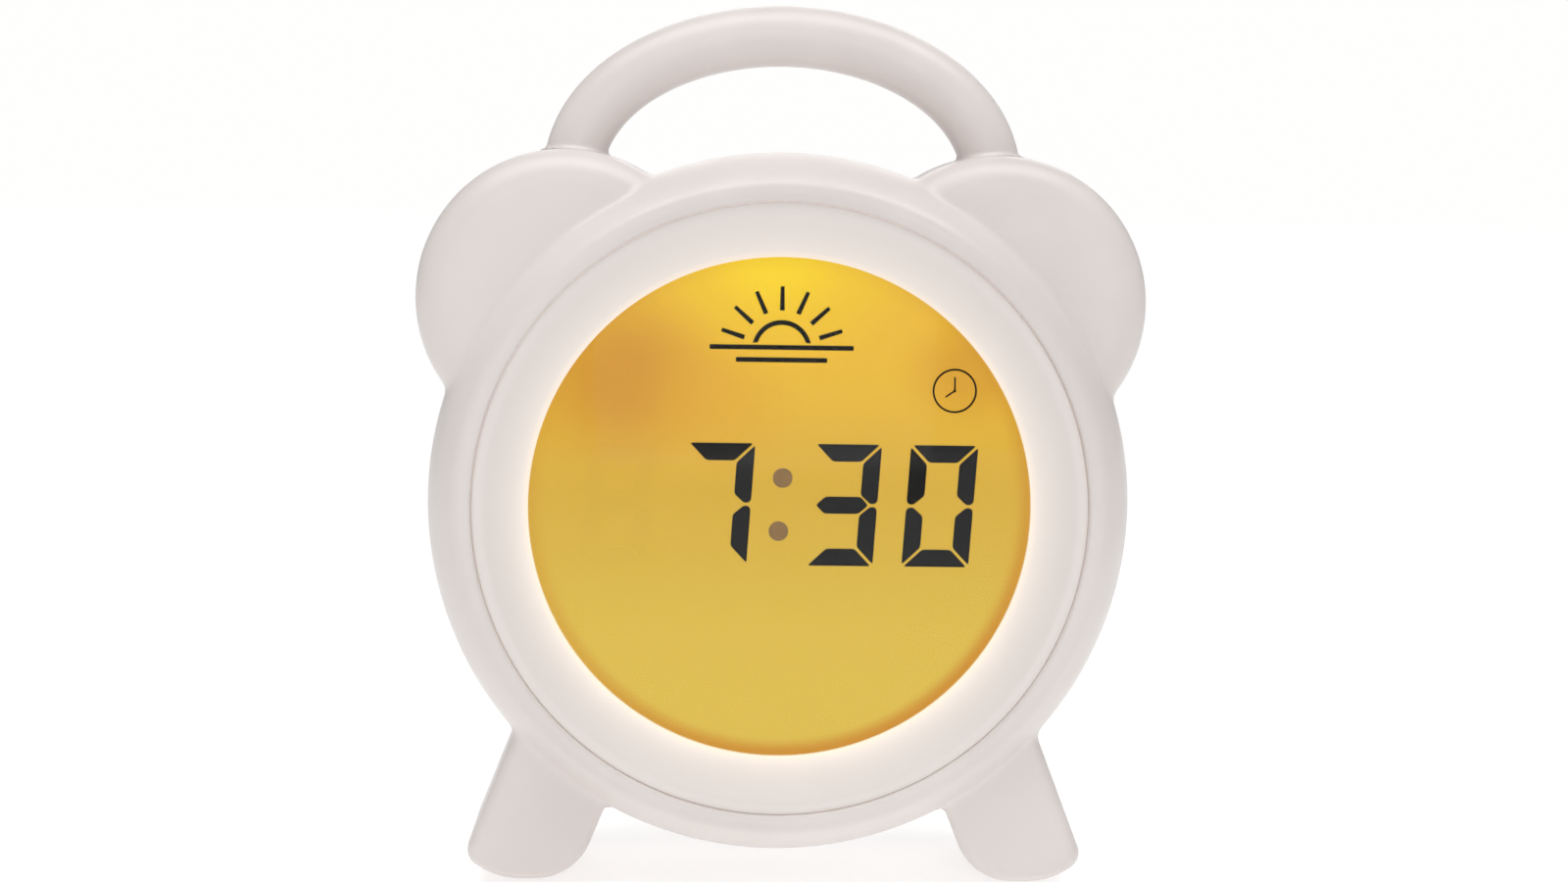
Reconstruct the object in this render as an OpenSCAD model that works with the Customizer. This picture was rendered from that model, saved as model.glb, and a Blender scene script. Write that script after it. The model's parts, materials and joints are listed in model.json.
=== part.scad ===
// Kids alarm clock with night light: a round drum with two flat ears, an arched
// carry handle, two splayed feet, a glowing dish and a round backlit display.
// X runs to the right, Y to the back and Z up; the feet stand on Z = 0.

/* [Drum] */
// Radius of the visible display
display_r = 52.5; // [51:0.5:64]
// Radial width of the glowing dish around the display
dish_w = 11.3; // [9.6:0.1:13]
// Radial width of the convex band outside the dish
band_w = 10.1; // [9.5:0.1:12]
// Depth from the band's crown to the rear face
body_depth = 49; // [47:0.5:60]
// Radius of the band's crown
crown_r = 3; // [2.6:0.1:3.4]
// Radius of the band's flank
flank_r = 20; // [18:0.5:23]
// Radius of the drum's rear edge
rear_round = 18; // [15:0.5:19]
// Wall of the casing
wall = 2.2; // [1.8:0.1:2.6]

/* [Ears] */
// Radius of each ear
ear_r = 31.1; // [26:0.1:36]
// Depth of each ear
ear_depth = 30.5; // [27:0.5:34]
// Rounding of the ear's rims
ear_round = 7; // [5:0.5:9]
// Angle of each ear above the horizontal
ear_angle = 43.4; // [42:0.1:45]
// How far the ear's centre lies inside the drum's rim
ear_sink = 11.5; // [9.5:0.1:12.5]

/* [Handle] */
// Diameter of the handle's tube
handle_d = 12.7; // [10.6:0.1:13.4]
// Height of the tube's centre line above its springing
handle_rise = 29.65; // [26:0.05:34]
// Radius of the arch's shoulders
shoulder_r = 24; // [21:0.5:26]

/* [Feet] */
// How far the feet reach below the drum
foot_drop = 5.9; // [5:0.1:9]
// Distance from the middle to each foot's inner corner
foot_stance = 42.35; // [40:0.05:46]
// Width of each foot at its sole
foot_w = 23.7; // [20:0.1:27]
// Depth of the feet
foot_depth = 37; // [32:0.5:40]
// Length of each rubber pad
pad_l = 16; // [13:0.5:20]
// How far the pads stand out below the feet
pad_out = 1.1; // [0.8:0.1:1.3]

/* [Display] */
// Height of a digit
digit_h = 25.75; // [21:0.25:28]
// Width of a digit
digit_w = 14.1; // [12:0.1:15.5]
// Width of a digit's strokes
stroke = 3.65; // [3:0.05:4.2]
// Slant of the digits in degrees
slant = 3.5; // [0:0.5:8]
// Thickness of each display glass
glass_t = 1.1; // [0.7:0.1:1.3]

/* [Batteries] */
// Diameter of a back-up cell
cell_d = 10.5; // [8.75:0.25:10.75]
// Length of a back-up cell
cell_l = 44.5; // [40:0.5:45.5]

/* [Controls] */
// Diameter of a rear key
key_d = 8.4; // [7:0.1:9.4]
// Travel of a rear key
key_travel = 0.8; // [0.6:0.1:1]
// Length of the light and snooze bar
bar_l = 40; // [33:1:42]
// Depth of the light and snooze bar
bar_w = 11; // [9.5:0.5:11.5]
// Travel of the light and snooze bar
bar_travel = 1.2; // [0.8:0.1:1.4]
// Travel of a slide switch
slide_travel = 4; // [3:0.5:4.5]

/* [Speaker] */
// Radius of the speaker's rim
speaker_r = 18; // [15:0.5:18.5]
// Radius of a grille hole
grille_hole_r = 1; // [0.8:0.05:1.2]

/* [Hidden] */
$fn = 72;

// Clearances and small standard sizes
gap = 0.2;
fit = 0.1;
seam = 0.1;
board_t = 1.6;
thread_r = 1.2;
pilot_r = 1.25;
head_r = 2.6;
head_h = 1.8;
slot_w = 0.7;
slot_l = 1.4 * head_r;
boss_r = 4.2;
case_pilot = 9;
socket_wall = 2.6;
lip_t = 1.8;

// Drum, in sections (radius, depth)
drum_r = display_r + dish_w + seam + band_w;
opening_r = display_r + dish_w + seam;
front_y = -body_depth / 2 - 0.5;
rear_y = front_y + body_depth;
crown_y = front_y + crown_r;
flank_y = front_y + 15;
crown_c = drum_r - flank_r
    + sqrt(pow(flank_r - crown_r, 2) - pow(flank_y - crown_y, 2));
crown_at = [crown_c, crown_y];
flank_at = [drum_r - flank_r, flank_y];
lip_r = crown_r + 2;
lip_at = [crown_c, front_y + lip_r];
face_y = front_y + 6.5;
rear_flat_r = drum_r - rear_round;
rear_inner_y = rear_y - wall;
part_y = -1.5;
cavity_r = drum_r - wall;
cz = drum_r + foot_drop + pad_out;

// Ears and handle
ear_x = (drum_r - ear_sink) * cos(ear_angle);
ear_z = (drum_r - ear_sink) * sin(ear_angle);
ear_y = face_y + ear_depth / 2;
ear_boss = [cos(ear_angle), sin(ear_angle)] * (drum_r + 9);
leg_x = ear_x - 1.05;
leg_top = ear_z + 25.8;
neck_z = [leg_top - 5.2, leg_top - 2.2];
leg_end = leg_top - 7.4;
neck_r = 4.5;
bulb_r = handle_d / 2 - 0.7;
arch_r = (pow(leg_x - shoulder_r, 2) + pow(handle_rise, 2) - pow(shoulder_r, 2))
    / (2 * (handle_rise - shoulder_r));
arch_a = atan2(leg_x - shoulder_r, arch_r - handle_rise);
lap_a = 0.5;

// Feet, as an outline (across, up) measured from the drum's centre
foot_z = -(drum_r + foot_drop);
foot_tilt_out = 21.3;
foot_tilt_in = 22;
foot_in_x = foot_stance;
foot_out_x = foot_in_x + foot_w;
foot_top = 30;
foot_heel = [7.5, 4.6];
foot_outline = [
    [foot_out_x - (foot_top + 10) * tan(foot_tilt_out), foot_z + foot_heel[1] + foot_top + 10],
    [foot_out_x, foot_z + foot_heel[1]],
    [foot_out_x - foot_heel[0], foot_z],
    [foot_in_x, foot_z],
    [foot_in_x - (foot_top - 7) * tan(foot_tilt_in), foot_z + foot_top - 7]
];
foot_radii = [3, 4, 16, 12.5, 3];
foot_side_r = 3;
foot_y = [face_y, face_y + foot_depth];
foot_boss = [foot_in_x + foot_w * 0.46, foot_z + 10.4];
pad_x = foot_in_x + foot_w * 0.425;
pad_w = 9;
pad_sink = 0.9;

// Display stack, from the window back
window_y = face_y;
window_t = 2.2;
window_flange = 1;
chassis_wall_r = display_r + 3.1;
stack_r = chassis_wall_r - 0.3;
glass_y = window_y + window_t + 0.1;
cell_gap = 0.2;
seg_y = glass_y + glass_t;
rear_glass_y = seg_y + cell_gap;
guide_y = rear_glass_y + glass_t + fit;
guide_t = 3;
guide_top = stack_r - 2.9;
sheet_t = 0.3;
chassis_y = guide_y + guide_t + sheet_t;
chassis_t = 1.5;
chassis_r = cavity_r - 2.3;
main_y = chassis_y + chassis_t + 1.5;
tab_w = 48;
tab_z = -(stack_r + 3.9);
connector_z = [tab_z + 0.5, tab_z + 2.7];
light_r = [chassis_wall_r + 2.9, chassis_wall_r + 8.9];
light_y = chassis_y - board_t;
led_count = 12;
chassis_boss_r = 2.7;
chassis_boss_at = chassis_r - 2.2;
main_posts = [[36, 30], [-36, 30], [36, -34], [-36, -34]];

// Rear board and what it carries
rear_board_y = rear_inner_y - 10.4;
on_board_y = rear_board_y + board_t;
tact_h = 3.5;
tact_w = 6;
plunger_r = 1.7;
key_x = rear_flat_r - 19;
key_rows = [36, 22, 8];
key_names = ["set", "hour", "minute", "alarm", "sound", "light"];
key_flange_r = key_d / 2 + 1;
plunger_out = key_travel + 0.3;
snooze_out = bar_travel + 0.3;
plunger_sink = 0.9;
post_r = 3;
rear_posts = [[27, 42], [-27, 42], [key_x + 9, -2], [-(key_x + 9), -2]];
slide_at = [key_x + 1.5, -10];
inlet_at = [-(key_x + 1.5), -28];
inlet_hole_r = 3.1;
inlet_pin_r = 1;
slider_w = 2.6;
slider_l = 3;
snooze_boss_r = 2.4;

// Speaker
speaker_z = 24;
speaker_y = rear_inner_y - 1.8;
grille_pitch = 4.6;

// Batteries
bay_z = -28;
bay_wall = 1.6;
cell_pitch = cell_d + 0.7;
bay_w = cell_l + 7.1;
bay_h = 3 * cell_pitch + 0.8;
cell_y = rear_y - 2 - 0.9 - cell_d / 2;
bay_floor = cell_y - cell_d / 2 - 0.35;
door_t = 1.9;
door_w = bay_w + 4.4;
door_h = bay_h + 3.6;
door_lip = 0.3;
door_tab = 5.4;
door_z0 = bay_z - door_h / 2;
door_z1 = bay_z + door_h / 2;
door_screw_z = door_z1 + 2.6;
door_hole_r = 1.9;
door_boss_r = 3.4;
head_out = 0.5;
tongue_x = 18;
tongue_w = 8;

// Battery springs
spring_wire = 0.7;
spring_turns = 4;
plate_t = 0.4;
spring_len = bay_w - cell_l - 2 * plate_t - gap - fit;
cell_shift = bay_w / 2 - plate_t - gap - cell_l / 2;
spring_big = 3.2;
spring_small = 1.8;

// Light and snooze bar
bar_y = part_y + 10.5;
snooze_z = drum_r - 17;
snooze_posts = bar_l / 2 + 5.5;

// ---------- helpers ----------

function unit(v) = v / norm(v);

// Arc that rounds corner b between its neighbours a and c
function corner(a, b, c, r, n) =
    let (
        u = unit(a - b), v = unit(c - b), half = acos(u * v) / 2,
        o = b + unit(u + v) * r / sin(half),
        s = b + u * r / tan(half) - o, e = b + v * r / tan(half) - o,
        a0 = atan2(s[1], s[0]), turn = atan2(cross(s, e), s * e)
    )
    [for (i = [0:n]) o + r * [cos(a0 + turn * i / n), sin(a0 + turn * i / n)]];

function rounded(p, radii, n = 8) =
    let (m = len(p))
    [for (i = [0:m - 1]) each corner(p[(i + m - 1) % m], p[i], p[(i + 1) % m], radii[i], n)];

// Every edge of a convex outline moved in by d
function inset(p, d) =
    let (m = len(p))
    [for (i = [0:m - 1])
        let (u = unit(p[(i + m - 1) % m] - p[i]), v = unit(p[(i + 1) % m] - p[i]))
        p[i] + (u + v) * d / abs(cross(u, v))];

function sheared(p) = [for (q = p) [q[0] + q[1] * tan(slant), q[1]]];

// An outline drawn as (across, up) and given depth
module deep(y0, y1) {
    translate([0, y1, 0]) rotate([90, 0, 0]) linear_extrude(y1 - y0) children();
}

// A section drawn as (radius, depth) and turned about the depth axis
module turned() {
    rotate([-90, 0, 0]) rotate_extrude() children();
}

module rod(r, y0, y1) {
    translate([0, y0, 0]) rotate([-90, 0, 0]) cylinder(h = y1 - y0, r = r);
}

module ring(r0, r1, y0, y1) {
    turned() translate([r0, y0]) square([r1 - r0, y1 - y0]);
}

module block(w, h, y0, y1) {
    translate([-w / 2, y0, -h / 2]) cube([w, y1 - y0, h]);
}

module at(p) {
    translate([p[0], 0, cz + p[1]]) children();
}

module both() {
    children();
    mirror([1, 0, 0]) children();
}

module front_half() {
    intersection() {
        children();
        translate([-drum_r * 1.5, front_y - 1, -10])
            cube([drum_r * 3, part_y - front_y + 1, cz * 3]);
    }
}

module rear_half() {
    intersection() {
        children();
        translate([-drum_r * 1.5, part_y, -10])
            cube([drum_r * 3, rear_y - part_y + 1, cz * 3]);
    }
}

// A screw along Y with its head at y0, pointing in direction s
module screw(y0, s, l, r = thread_r, slot = slot_w) {
    translate([0, y0, 0]) mirror([0, s < 0 ? 1 : 0, 0]) difference() {
        union() {
            rod(head_r, 0, head_h);
            rod(r, head_h, head_h + l);
        }
        block(slot_l, slot, -0.1, slot);
        block(slot, slot_l, -0.1, slot);
    }
}

// ---------- casing ----------

// Half section of the drum, moved in by d
module drum_section(d) {
    translate(crown_at) circle(max(crown_r - d, 0.3));
    intersection() {
        translate(lip_at) circle(lip_r - d);
        translate([opening_r - 2, front_y]) square([crown_c - opening_r + 2, crown_r]);
    }
    intersection() {
        translate(flank_at) circle(flank_r - d);
        polygon([
            crown_at, flank_at + unit(crown_at - flank_at) * (flank_r + 2),
            [drum_r + 2, flank_y], [crown_c, flank_y]
        ]);
    }
    translate([0, crown_y]) square([crown_c, flank_y - crown_y]);
    translate([0, flank_y]) square([drum_r - d, rear_y - rear_round - flank_y]);
    intersection() {
        translate([rear_flat_r, rear_y - rear_round]) circle(rear_round - d);
        translate([rear_flat_r, rear_y - rear_round]) square(rear_round);
    }
    translate([0, rear_y - rear_round]) square([rear_flat_r, rear_round - d]);
}

module drum(d = 0) {
    translate([0, 0, cz]) turned() drum_section(d);
}

// One ear, moved in by d
module ear(d = 0) {
    r = ear_r - d;
    h = ear_depth - 2 * d;
    e = ear_round - d;
    at([ear_x, ear_z]) translate([0, ear_y, 0]) turned() {
        translate([0, -h / 2]) square([r - e, h]);
        translate([0, -h / 2 + e]) square([r, h - 2 * e]);
        for (s = [-1, 1]) translate([r - e, s * (h / 2 - e)]) circle(e);
    }
}

// One foot, moved in by d
module foot(d = 0) {
    intersection() {
        at([0, 0]) deep(foot_y[0] + d, foot_y[1] - d)
            polygon(rounded(inset(foot_outline, d), foot_radii - [0, d, d, d, 0]));
        translate([0, 0, cz + foot_z]) rotate([90, 0, 90]) linear_extrude(drum_r + 20)
            polygon(rounded([
                [foot_y[0] + d, d], [foot_y[1] - d, d],
                [foot_y[1] - d, foot_top + 20], [foot_y[0] + d, foot_top + 20]
            ], [foot_side_r - d, foot_side_r - d, 1, 1]));
    }
}

module outer_case() {
    drum();
    both() ear();
    both() foot();
}

// The leg's socket in the ear, and the bosses of the case screws
module case_ribs() {
    both() difference() {
        intersection() {
            ear(wall / 2);
            at([leg_x, leg_end]) translate([-handle_d / 2 - socket_wall, part_y - 12, -8])
                cube([handle_d + 2 * socket_wall, 24, 30]);
        }
        translate([0, 0, cz]) rod(drum_r - wall / 2, front_y, rear_y);
    }
    both() at(ear_boss)
        rod(boss_r, ear_y - ear_depth / 2 + wall / 2, ear_y + ear_depth / 2 - wall / 2);
    both() at(foot_boss) rod(boss_r, foot_y[0] + wall / 2, foot_y[1] - wall / 2);
}

module leg_socket() {
    translate([0, part_y, cz + leg_top]) shoulder(handle_d + 2 * fit + 0.04, 30);
    at([leg_x, 0]) {
        translate([0, part_y, neck_z[1]])
            cylinder(h = leg_top - neck_z[1], r = handle_d / 2 + fit);
        translate([0, part_y, leg_end]) cylinder(h = leg_top - leg_end, r = neck_r + fit);
        translate([0, part_y, leg_end - fit])
            cylinder(h = neck_z[0] - leg_end + fit, r = bulb_r + fit);
    }
}

module case_cavity() {
    drum(wall);
    both() difference() {
        union() {
            ear(wall);
            foot(wall);
        }
        translate([0, 0, cz]) rod(drum_r - 0.4, front_y, rear_y);
    }
}

module pad_shape(h, grow = 0) {
    w = pad_w + 2 * grow;
    both() translate([pad_x, foot_y[0] + foot_depth / 2, 0]) {
        translate([-w / 2, -(pad_l - pad_w) / 2, 0]) cube([w, pad_l - pad_w, h]);
        for (s = [-1, 1]) translate([0, s * (pad_l - pad_w) / 2, 0]) cylinder(h = h, r = w / 2);
    }
}

module pad_recess() {
    pad_shape(pad_out + pad_sink, fit);
}

module chassis_bosses(r, y0, y1) {
    for (a = [45:90:315])
        at(chassis_boss_at * [cos(a), sin(a)]) rod(r, y0, y1);
}

module front_shell() color([0.93, 0.92, 0.91]) difference() {
    union() {
        front_half() difference() {
            outer_case();
            case_cavity();
        }
        front_half() case_ribs();
        intersection() {
            chassis_bosses(chassis_boss_r, front_y + wall / 2, chassis_y);
            drum(wall / 2);
        }
    }
    translate([0, 0, cz]) rod(opening_r, front_y - 1, crown_y + 0.5);
    both() leg_socket();
    both() for (p = [ear_boss, foot_boss])
        at(p) rod(pilot_r, part_y - case_pilot, part_y + 1);
    chassis_bosses(pilot_r, chassis_y - 7, chassis_y + 1);
    pad_recess();
}

module bar_cut(d, y0, y1) {
    translate([-bar_l / 2 - d, bar_y - bar_w / 2 - d + y0, cz + drum_r - 14])
        cube([bar_l + 2 * d, bar_w + 2 * d + y1, 20]);
}

module rear_shell() color([0.92, 0.91, 0.90]) difference() {
    union() {
        rear_half() difference() {
            outer_case();
            case_cavity();
        }
        rear_half() case_ribs();
        // lip that centres the front shell
        translate([0, 0, cz]) ring(cavity_r - lip_t, cavity_r - gap, part_y - 1.5, part_y + 3);
        translate([0, 0, cz]) ring(cavity_r - lip_t, cavity_r + 0.5, part_y + 1, part_y + 3);
        // battery bay and the frame of its door
        at([0, bay_z]) block(bay_w + 2 * bay_wall, bay_h + 2 * bay_wall,
            bay_floor - bay_wall, rear_inner_y + 0.5);
        at([0, bay_z]) block(door_w + 4, door_h + 4, rear_inner_y - 2, rear_inner_y + 0.5);
        at([0, door_screw_z]) rod(door_boss_r, on_board_y + 1.2, rear_inner_y + 0.5);
        // speaker rim and board posts
        at([0, speaker_z]) ring(speaker_r + gap, speaker_r + gap + bay_wall,
            speaker_y - 2, rear_inner_y + 0.5);
        for (p = rear_posts) at(p) rod(post_r, on_board_y, rear_inner_y + 0.5);
        intersection() {
            for (s = [-1, 1]) translate([s * snooze_posts, bar_y - 1.5, cz + snooze_z + board_t])
                cylinder(h = 20, r = snooze_boss_r);
            drum(wall / 2);
        }
    }
    at([0, bay_z]) block(bay_w, bay_h, bay_floor, rear_y + 1);
    at([0, bay_z]) block(door_w + 2 * door_lip, door_h + 2 * door_lip,
        rear_y - door_t - 0.1, rear_y + 1);
    at([0, door_z1]) block(2 * (door_tab + door_lip), 2 * (door_tab + door_lip) - 0.2,
        rear_y - door_t - 0.1, rear_y + 1);
    for (s = [-1, 1]) at([s * tongue_x, door_z0])
        block(tongue_w + 0.8, 5.2, rear_y - door_t - 2.1, rear_y - door_t);
    at([0, door_screw_z]) rod(door_hole_r, on_board_y + 3, rear_y);
    for (p = rear_posts) at(p) rod(pilot_r, on_board_y - 1, on_board_y + 6);
    for (s = [-1, 1]) translate([s * snooze_posts, bar_y - 1.5, cz + snooze_z])
        cylinder(h = 6.5, r = pilot_r);
    for (s = [-1, 1], z = key_rows) at([s * key_x, z]) rod(key_d / 2 + 0.3, rear_inner_y - 1, rear_y + 1);
    for (s = [-1, 1]) at([s * slide_at[0], slide_at[1]])
        block(slider_w + 0.8, slide_travel + slider_l + 0.8, rear_inner_y - 1, rear_y + 1);
    at(inlet_at) rod(inlet_hole_r + 0.4, rear_inner_y - 1, rear_y + 1);
    at([0, speaker_z]) for (k = [0:2]) for (i = [0:max(0, 6 * k - 1)])
        rotate([0, 360 / max(1, 6 * k) * i, 0]) translate([k * grille_pitch, 0, 0])
            rod(grille_hole_r, rear_inner_y - 1, rear_y + 1);
    bar_cut(0.35, 0, 0);
    both() leg_socket();
    both() for (p = [ear_boss, foot_boss]) at(p) {
        rod(thread_r + 0.3, part_y - 1, rear_y);
        rod(head_r + 0.4, part_y + 3, rear_y);
    }
    pad_recess();
}

// ---------- handle ----------

module bend(r, a, d) {
    rotate([90, 0, 0]) rotate_extrude(angle = a) translate([r, 0]) circle(d / 2);
}

// The arch's right shoulder, from a little below its springing up to angle a
module shoulder(d, a) {
    translate([leg_x - shoulder_r, 0, 0]) rotate([0, lap_a, 0]) bend(shoulder_r, a + lap_a, d);
}

module carry_handle() color([0.88, 0.86, 0.85]) translate([0, part_y, cz + leg_top]) {
    translate([0, 0, handle_rise - arch_r]) rotate([0, -90 + arch_a, 0])
        bend(arch_r, 2 * arch_a, handle_d);
    both() {
        shoulder(handle_d - 0.04, 90 - arch_a + lap_a);
        translate([leg_x, 0, neck_z[1] - leg_top])
            cylinder(h = leg_top - neck_z[1], r = handle_d / 2);
        translate([leg_x, 0, leg_end - leg_top]) cylinder(h = leg_top - leg_end, r = neck_r);
        translate([leg_x, 0, leg_end - leg_top]) cylinder(h = neck_z[0] - leg_end - fit, r = bulb_r);
    }
}

// ---------- night light ----------

// Front of the glowing dish from the display out, then the lip beside the casing
lip_out = opening_r - seam;
lip_w = 2.8;
dish_bend = 1.35;
dish_sink = 4.6;
dish_steps = 8;
dish_front = [for (i = [0:dish_steps]) let (t = i / dish_steps)
    [display_r + (dish_w - lip_w) * t, window_y - dish_sink * pow(t, dish_bend)]];
lip_front = [
    [lip_out - 2.3, window_y - dish_sink - 0.32], [lip_out - 1.3, window_y - dish_sink - 0.5],
    [lip_out - 0.4, window_y - dish_sink - 0.26], [lip_out, window_y - dish_sink + 0.1]
];
ring_seat = window_y + window_t - window_flange - fit;
flange_y = [crown_y + gap, crown_y + 1.8];
flange_out = crown_c + 0.6;

module light_ring() color([0.97, 0.94, 0.88]) difference() {
    translate([0, 0, cz]) turned() polygon(concat(dish_front, lip_front, [
        [lip_out, flange_y[0]], [flange_out, flange_y[0]], [flange_out, flange_y[1]],
        [lip_out - 2.2, flange_y[1]], [display_r + 3.6, ring_seat], [display_r, ring_seat]
    ]));
    chassis_bosses(chassis_boss_r + 0.3, crown_y - 1, chassis_y);
}

module light_board() color([0.9, 0.9, 0.86]) translate([0, 0, cz]) difference() {
    ring(light_r[0], light_r[1], light_y, chassis_y);
    translate([0, 0, tab_z]) block(tab_w + 6, 24, light_y - 1, chassis_y + 1);
}

module night_light_leds() color([1, 0.96, 0.8]) for (i = [0:led_count - 1]) {
    a = 270 + 34 + i * (360 - 68) / (led_count - 1);
    at((light_r[0] + light_r[1]) / 2 * [cos(a), sin(a)]) rotate([0, -a, 0])
        block(2.8, 3.5, light_y - 0.8, light_y);
}

// ---------- display ----------

module display_window() color([1, 0.85, 0.4, 0.3]) translate([0, 0, cz]) {
    rod(display_r - 0.15, window_y, window_y + window_t);
    rod(chassis_wall_r + 1.2, window_y + window_t - window_flange, window_y + window_t);
}

module lcd_front_glass() color([0.95, 0.75, 0.3, 0.4]) at([0, 0]) {
    deep(glass_y, glass_y + glass_t) union() {
        circle(stack_r);
        translate([-tab_w / 2, tab_z]) square([tab_w, 30]);
    }
}

module lcd_rear_glass() color([0.95, 0.7, 0.25]) at([0, 0])
    rod(stack_r, rear_glass_y, rear_glass_y + glass_t);

// Strokes of a seven-segment digit, centred on its middle
w2 = digit_w / 2;
h2 = digit_h / 2;
split = 0.42;
function bar_across(z, s) = [
    [-w2 + 0.5 + split, z - s * 0.65], [-w2 + 1.3 + split, z], [w2 - 1.3 - split, z],
    [w2 - 0.5 - split, z - s * 0.65], [w2 - stroke + split, z - s * stroke * 0.96],
    [-w2 + stroke - split, z - s * stroke * 0.96]
];
function bar_middle() = [
    [-w2 + 1.2, 0], [-w2 + stroke * 0.86, stroke / 2], [w2 - stroke * 0.86, stroke / 2],
    [w2 - 1.2, 0], [w2 - stroke * 0.86, -stroke / 2], [-w2 + stroke * 0.86, -stroke / 2]
];
function bar_up(s, t) = [
    [s * w2, t * (h2 - 1.6)], [s * (w2 - 0.5), t * (h2 - 0.9)],
    [s * (w2 - stroke), t * (h2 - stroke - 0.2)], [s * (w2 - stroke), t * (stroke / 2 + 0.5)],
    [s * (w2 - 0.7), t * 0.6], [s * w2, t * 1.3]
];
digit_strokes = [
    bar_across(h2, 1), bar_middle(), bar_across(-h2, -1),
    bar_up(-1, 1), bar_up(1, 1), bar_up(-1, -1), bar_up(1, -1)
];
digit_x = [-13.1, 13.4, 33.6];
digit_mid = 0.55;
colon_at = [[0.53, 6.16], [-0.19, -5.07]];
colon_r = 2.07;
shown = [[0, 4, 6], [0, 1, 2, 4, 6], [0, 2, 3, 4, 5, 6]];

module digit(list) {
    for (i = list) polygon(sheared(digit_strokes[i]));
}

module clock_icon() {
    hand_w = 0.34;
    difference() {
        circle(4.65);
        circle(4.25);
    }
    translate([-hand_w / 2, -0.15]) square([hand_w, 3.05]);
    rotate(214.7) translate([0, -hand_w / 2]) square([2.3, hand_w]);
}

module sunrise_icon() {
    intersection() {
        difference() {
            circle(6.2);
            circle(5.2);
        }
        translate([-8, 1.4]) square([16, 8]);
    }
    translate([-15, 0]) square([30, 1]);
    translate([-9.5, -2.6]) square([19, 1]);
    for (a = [18:24:162]) rotate(a) translate([8.2, -0.5]) square([5, 1]);
}

module lcd_segments() color([0.12, 0.1, 0.08]) at([0, 0]) deep(seg_y, rear_glass_y) {
    for (i = [0:2]) translate([digit_x[i], digit_mid]) digit(shown[i]);
    for (p = colon_at) translate(p) circle(colon_r);
    translate([36.2, 24.9]) clock_icon();
    translate([-0.1, 33]) sunrise_icon();
}

module backlight_guide() color([1, 0.8, 0.35]) at([0, 0]) deep(guide_y, guide_y + guide_t)
    intersection() {
        circle(stack_r);
        translate([-stack_r, -stack_r]) square([2 * stack_r, stack_r + guide_top]);
    }

module backlight_reflector() color([0.95, 0.95, 0.95]) at([0, 0])
    deep(guide_y + guide_t, chassis_y) intersection() {
        circle(stack_r);
        translate([-stack_r, -stack_r]) square([2 * stack_r, stack_r + guide_top]);
    }

module backlight_leds() color([1, 0.7, 0.1]) for (x = [-9, 0, 9])
    at([x, guide_top + 0.9]) block(3.5, 1.4, chassis_y - 2.6, chassis_y);

module lcd_connector() color([0.75, 0.3, 0.4]) at([0, (connector_z[0] + connector_z[1]) / 2])
    block(tab_w - 4, connector_z[1] - connector_z[0], seg_y, main_y);

module display_chassis() color([0.96, 0.96, 0.94]) difference() {
    union() {
        translate([0, 0, cz]) rod(chassis_r, chassis_y, chassis_y + chassis_t);
        translate([0, 0, cz]) ring(chassis_wall_r, chassis_wall_r + bay_wall,
            window_y + window_t, chassis_y + 0.5);
        for (p = main_posts) at(p) rod(post_r, chassis_y + chassis_t / 2, main_y);
    }
    at([0, tab_z]) block(tab_w + 0.6, 24, window_y, chassis_y);
    at([0, (connector_z[0] + connector_z[1]) / 2])
        block(tab_w - 3.4, connector_z[1] - connector_z[0] + 0.6, chassis_y - 1, main_y);
    chassis_bosses(thread_r + 0.3, chassis_y - 1, chassis_y + 3);
    for (p = main_posts) at(p) rod(pilot_r, chassis_y + 0.4, main_y + 1);
}

module main_board() color([0.1, 0.4, 0.2]) difference() {
    at([0, 0]) deep(main_y, main_y + board_t) intersection() {
        circle(chassis_r - 5.5);
        translate([-44, -chassis_r]) square([88, chassis_r + 42]);
    }
    for (p = main_posts) at(p) rod(thread_r + 0.2, main_y - 1, main_y + board_t + 1);
}

module controller_chip() color([0.12, 0.12, 0.13])
    at([0, -8]) block(14, 14, main_y + board_t, main_y + board_t + 1.6);

module quartz_crystal() color([0.75, 0.75, 0.77])
    translate([14, main_y + board_t + 1.5, cz - 9]) cylinder(h = 6, r = 1.5);

module capacitors() color([0.1, 0.12, 0.3]) for (p = [[18, 18], [-18, 18], [22, -24]])
    at(p) rod(4, main_y + board_t, main_y + board_t + 8);

// Flat cable from the main board, up and back to the rear board
module ribbon_cable() color([0.85, 0.85, 0.8]) {
    bend_r = 3;
    run_z = 34;
    end_z = 47;
    mid_y = 3;
    t = 0.4;
    y0 = main_y + board_t;
    translate([-8, 0, cz]) {
        translate([0, y0, run_z]) cube([16, mid_y - bend_r - y0, t]);
        translate([0, mid_y - t, run_z + bend_r]) cube([16, t, end_z - run_z - 2 * bend_r + t]);
        translate([0, mid_y + bend_r - t, end_z]) cube([16, rear_board_y - mid_y - bend_r + t, t]);
        translate([0, mid_y - bend_r, run_z + bend_r]) rotate([90, 90, 90]) linear_extrude(16)
            intersection() {
                difference() {
                    circle(bend_r);
                    circle(bend_r - t);
                }
                square(bend_r);
            }
        translate([0, mid_y + bend_r - t, end_z - bend_r + t]) rotate([90, -90, 90])
            linear_extrude(16) intersection() {
                difference() {
                    circle(bend_r);
                    circle(bend_r - t);
                }
                square(bend_r);
            }
    }
}

// ---------- rear board, switches and inlet ----------

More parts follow.
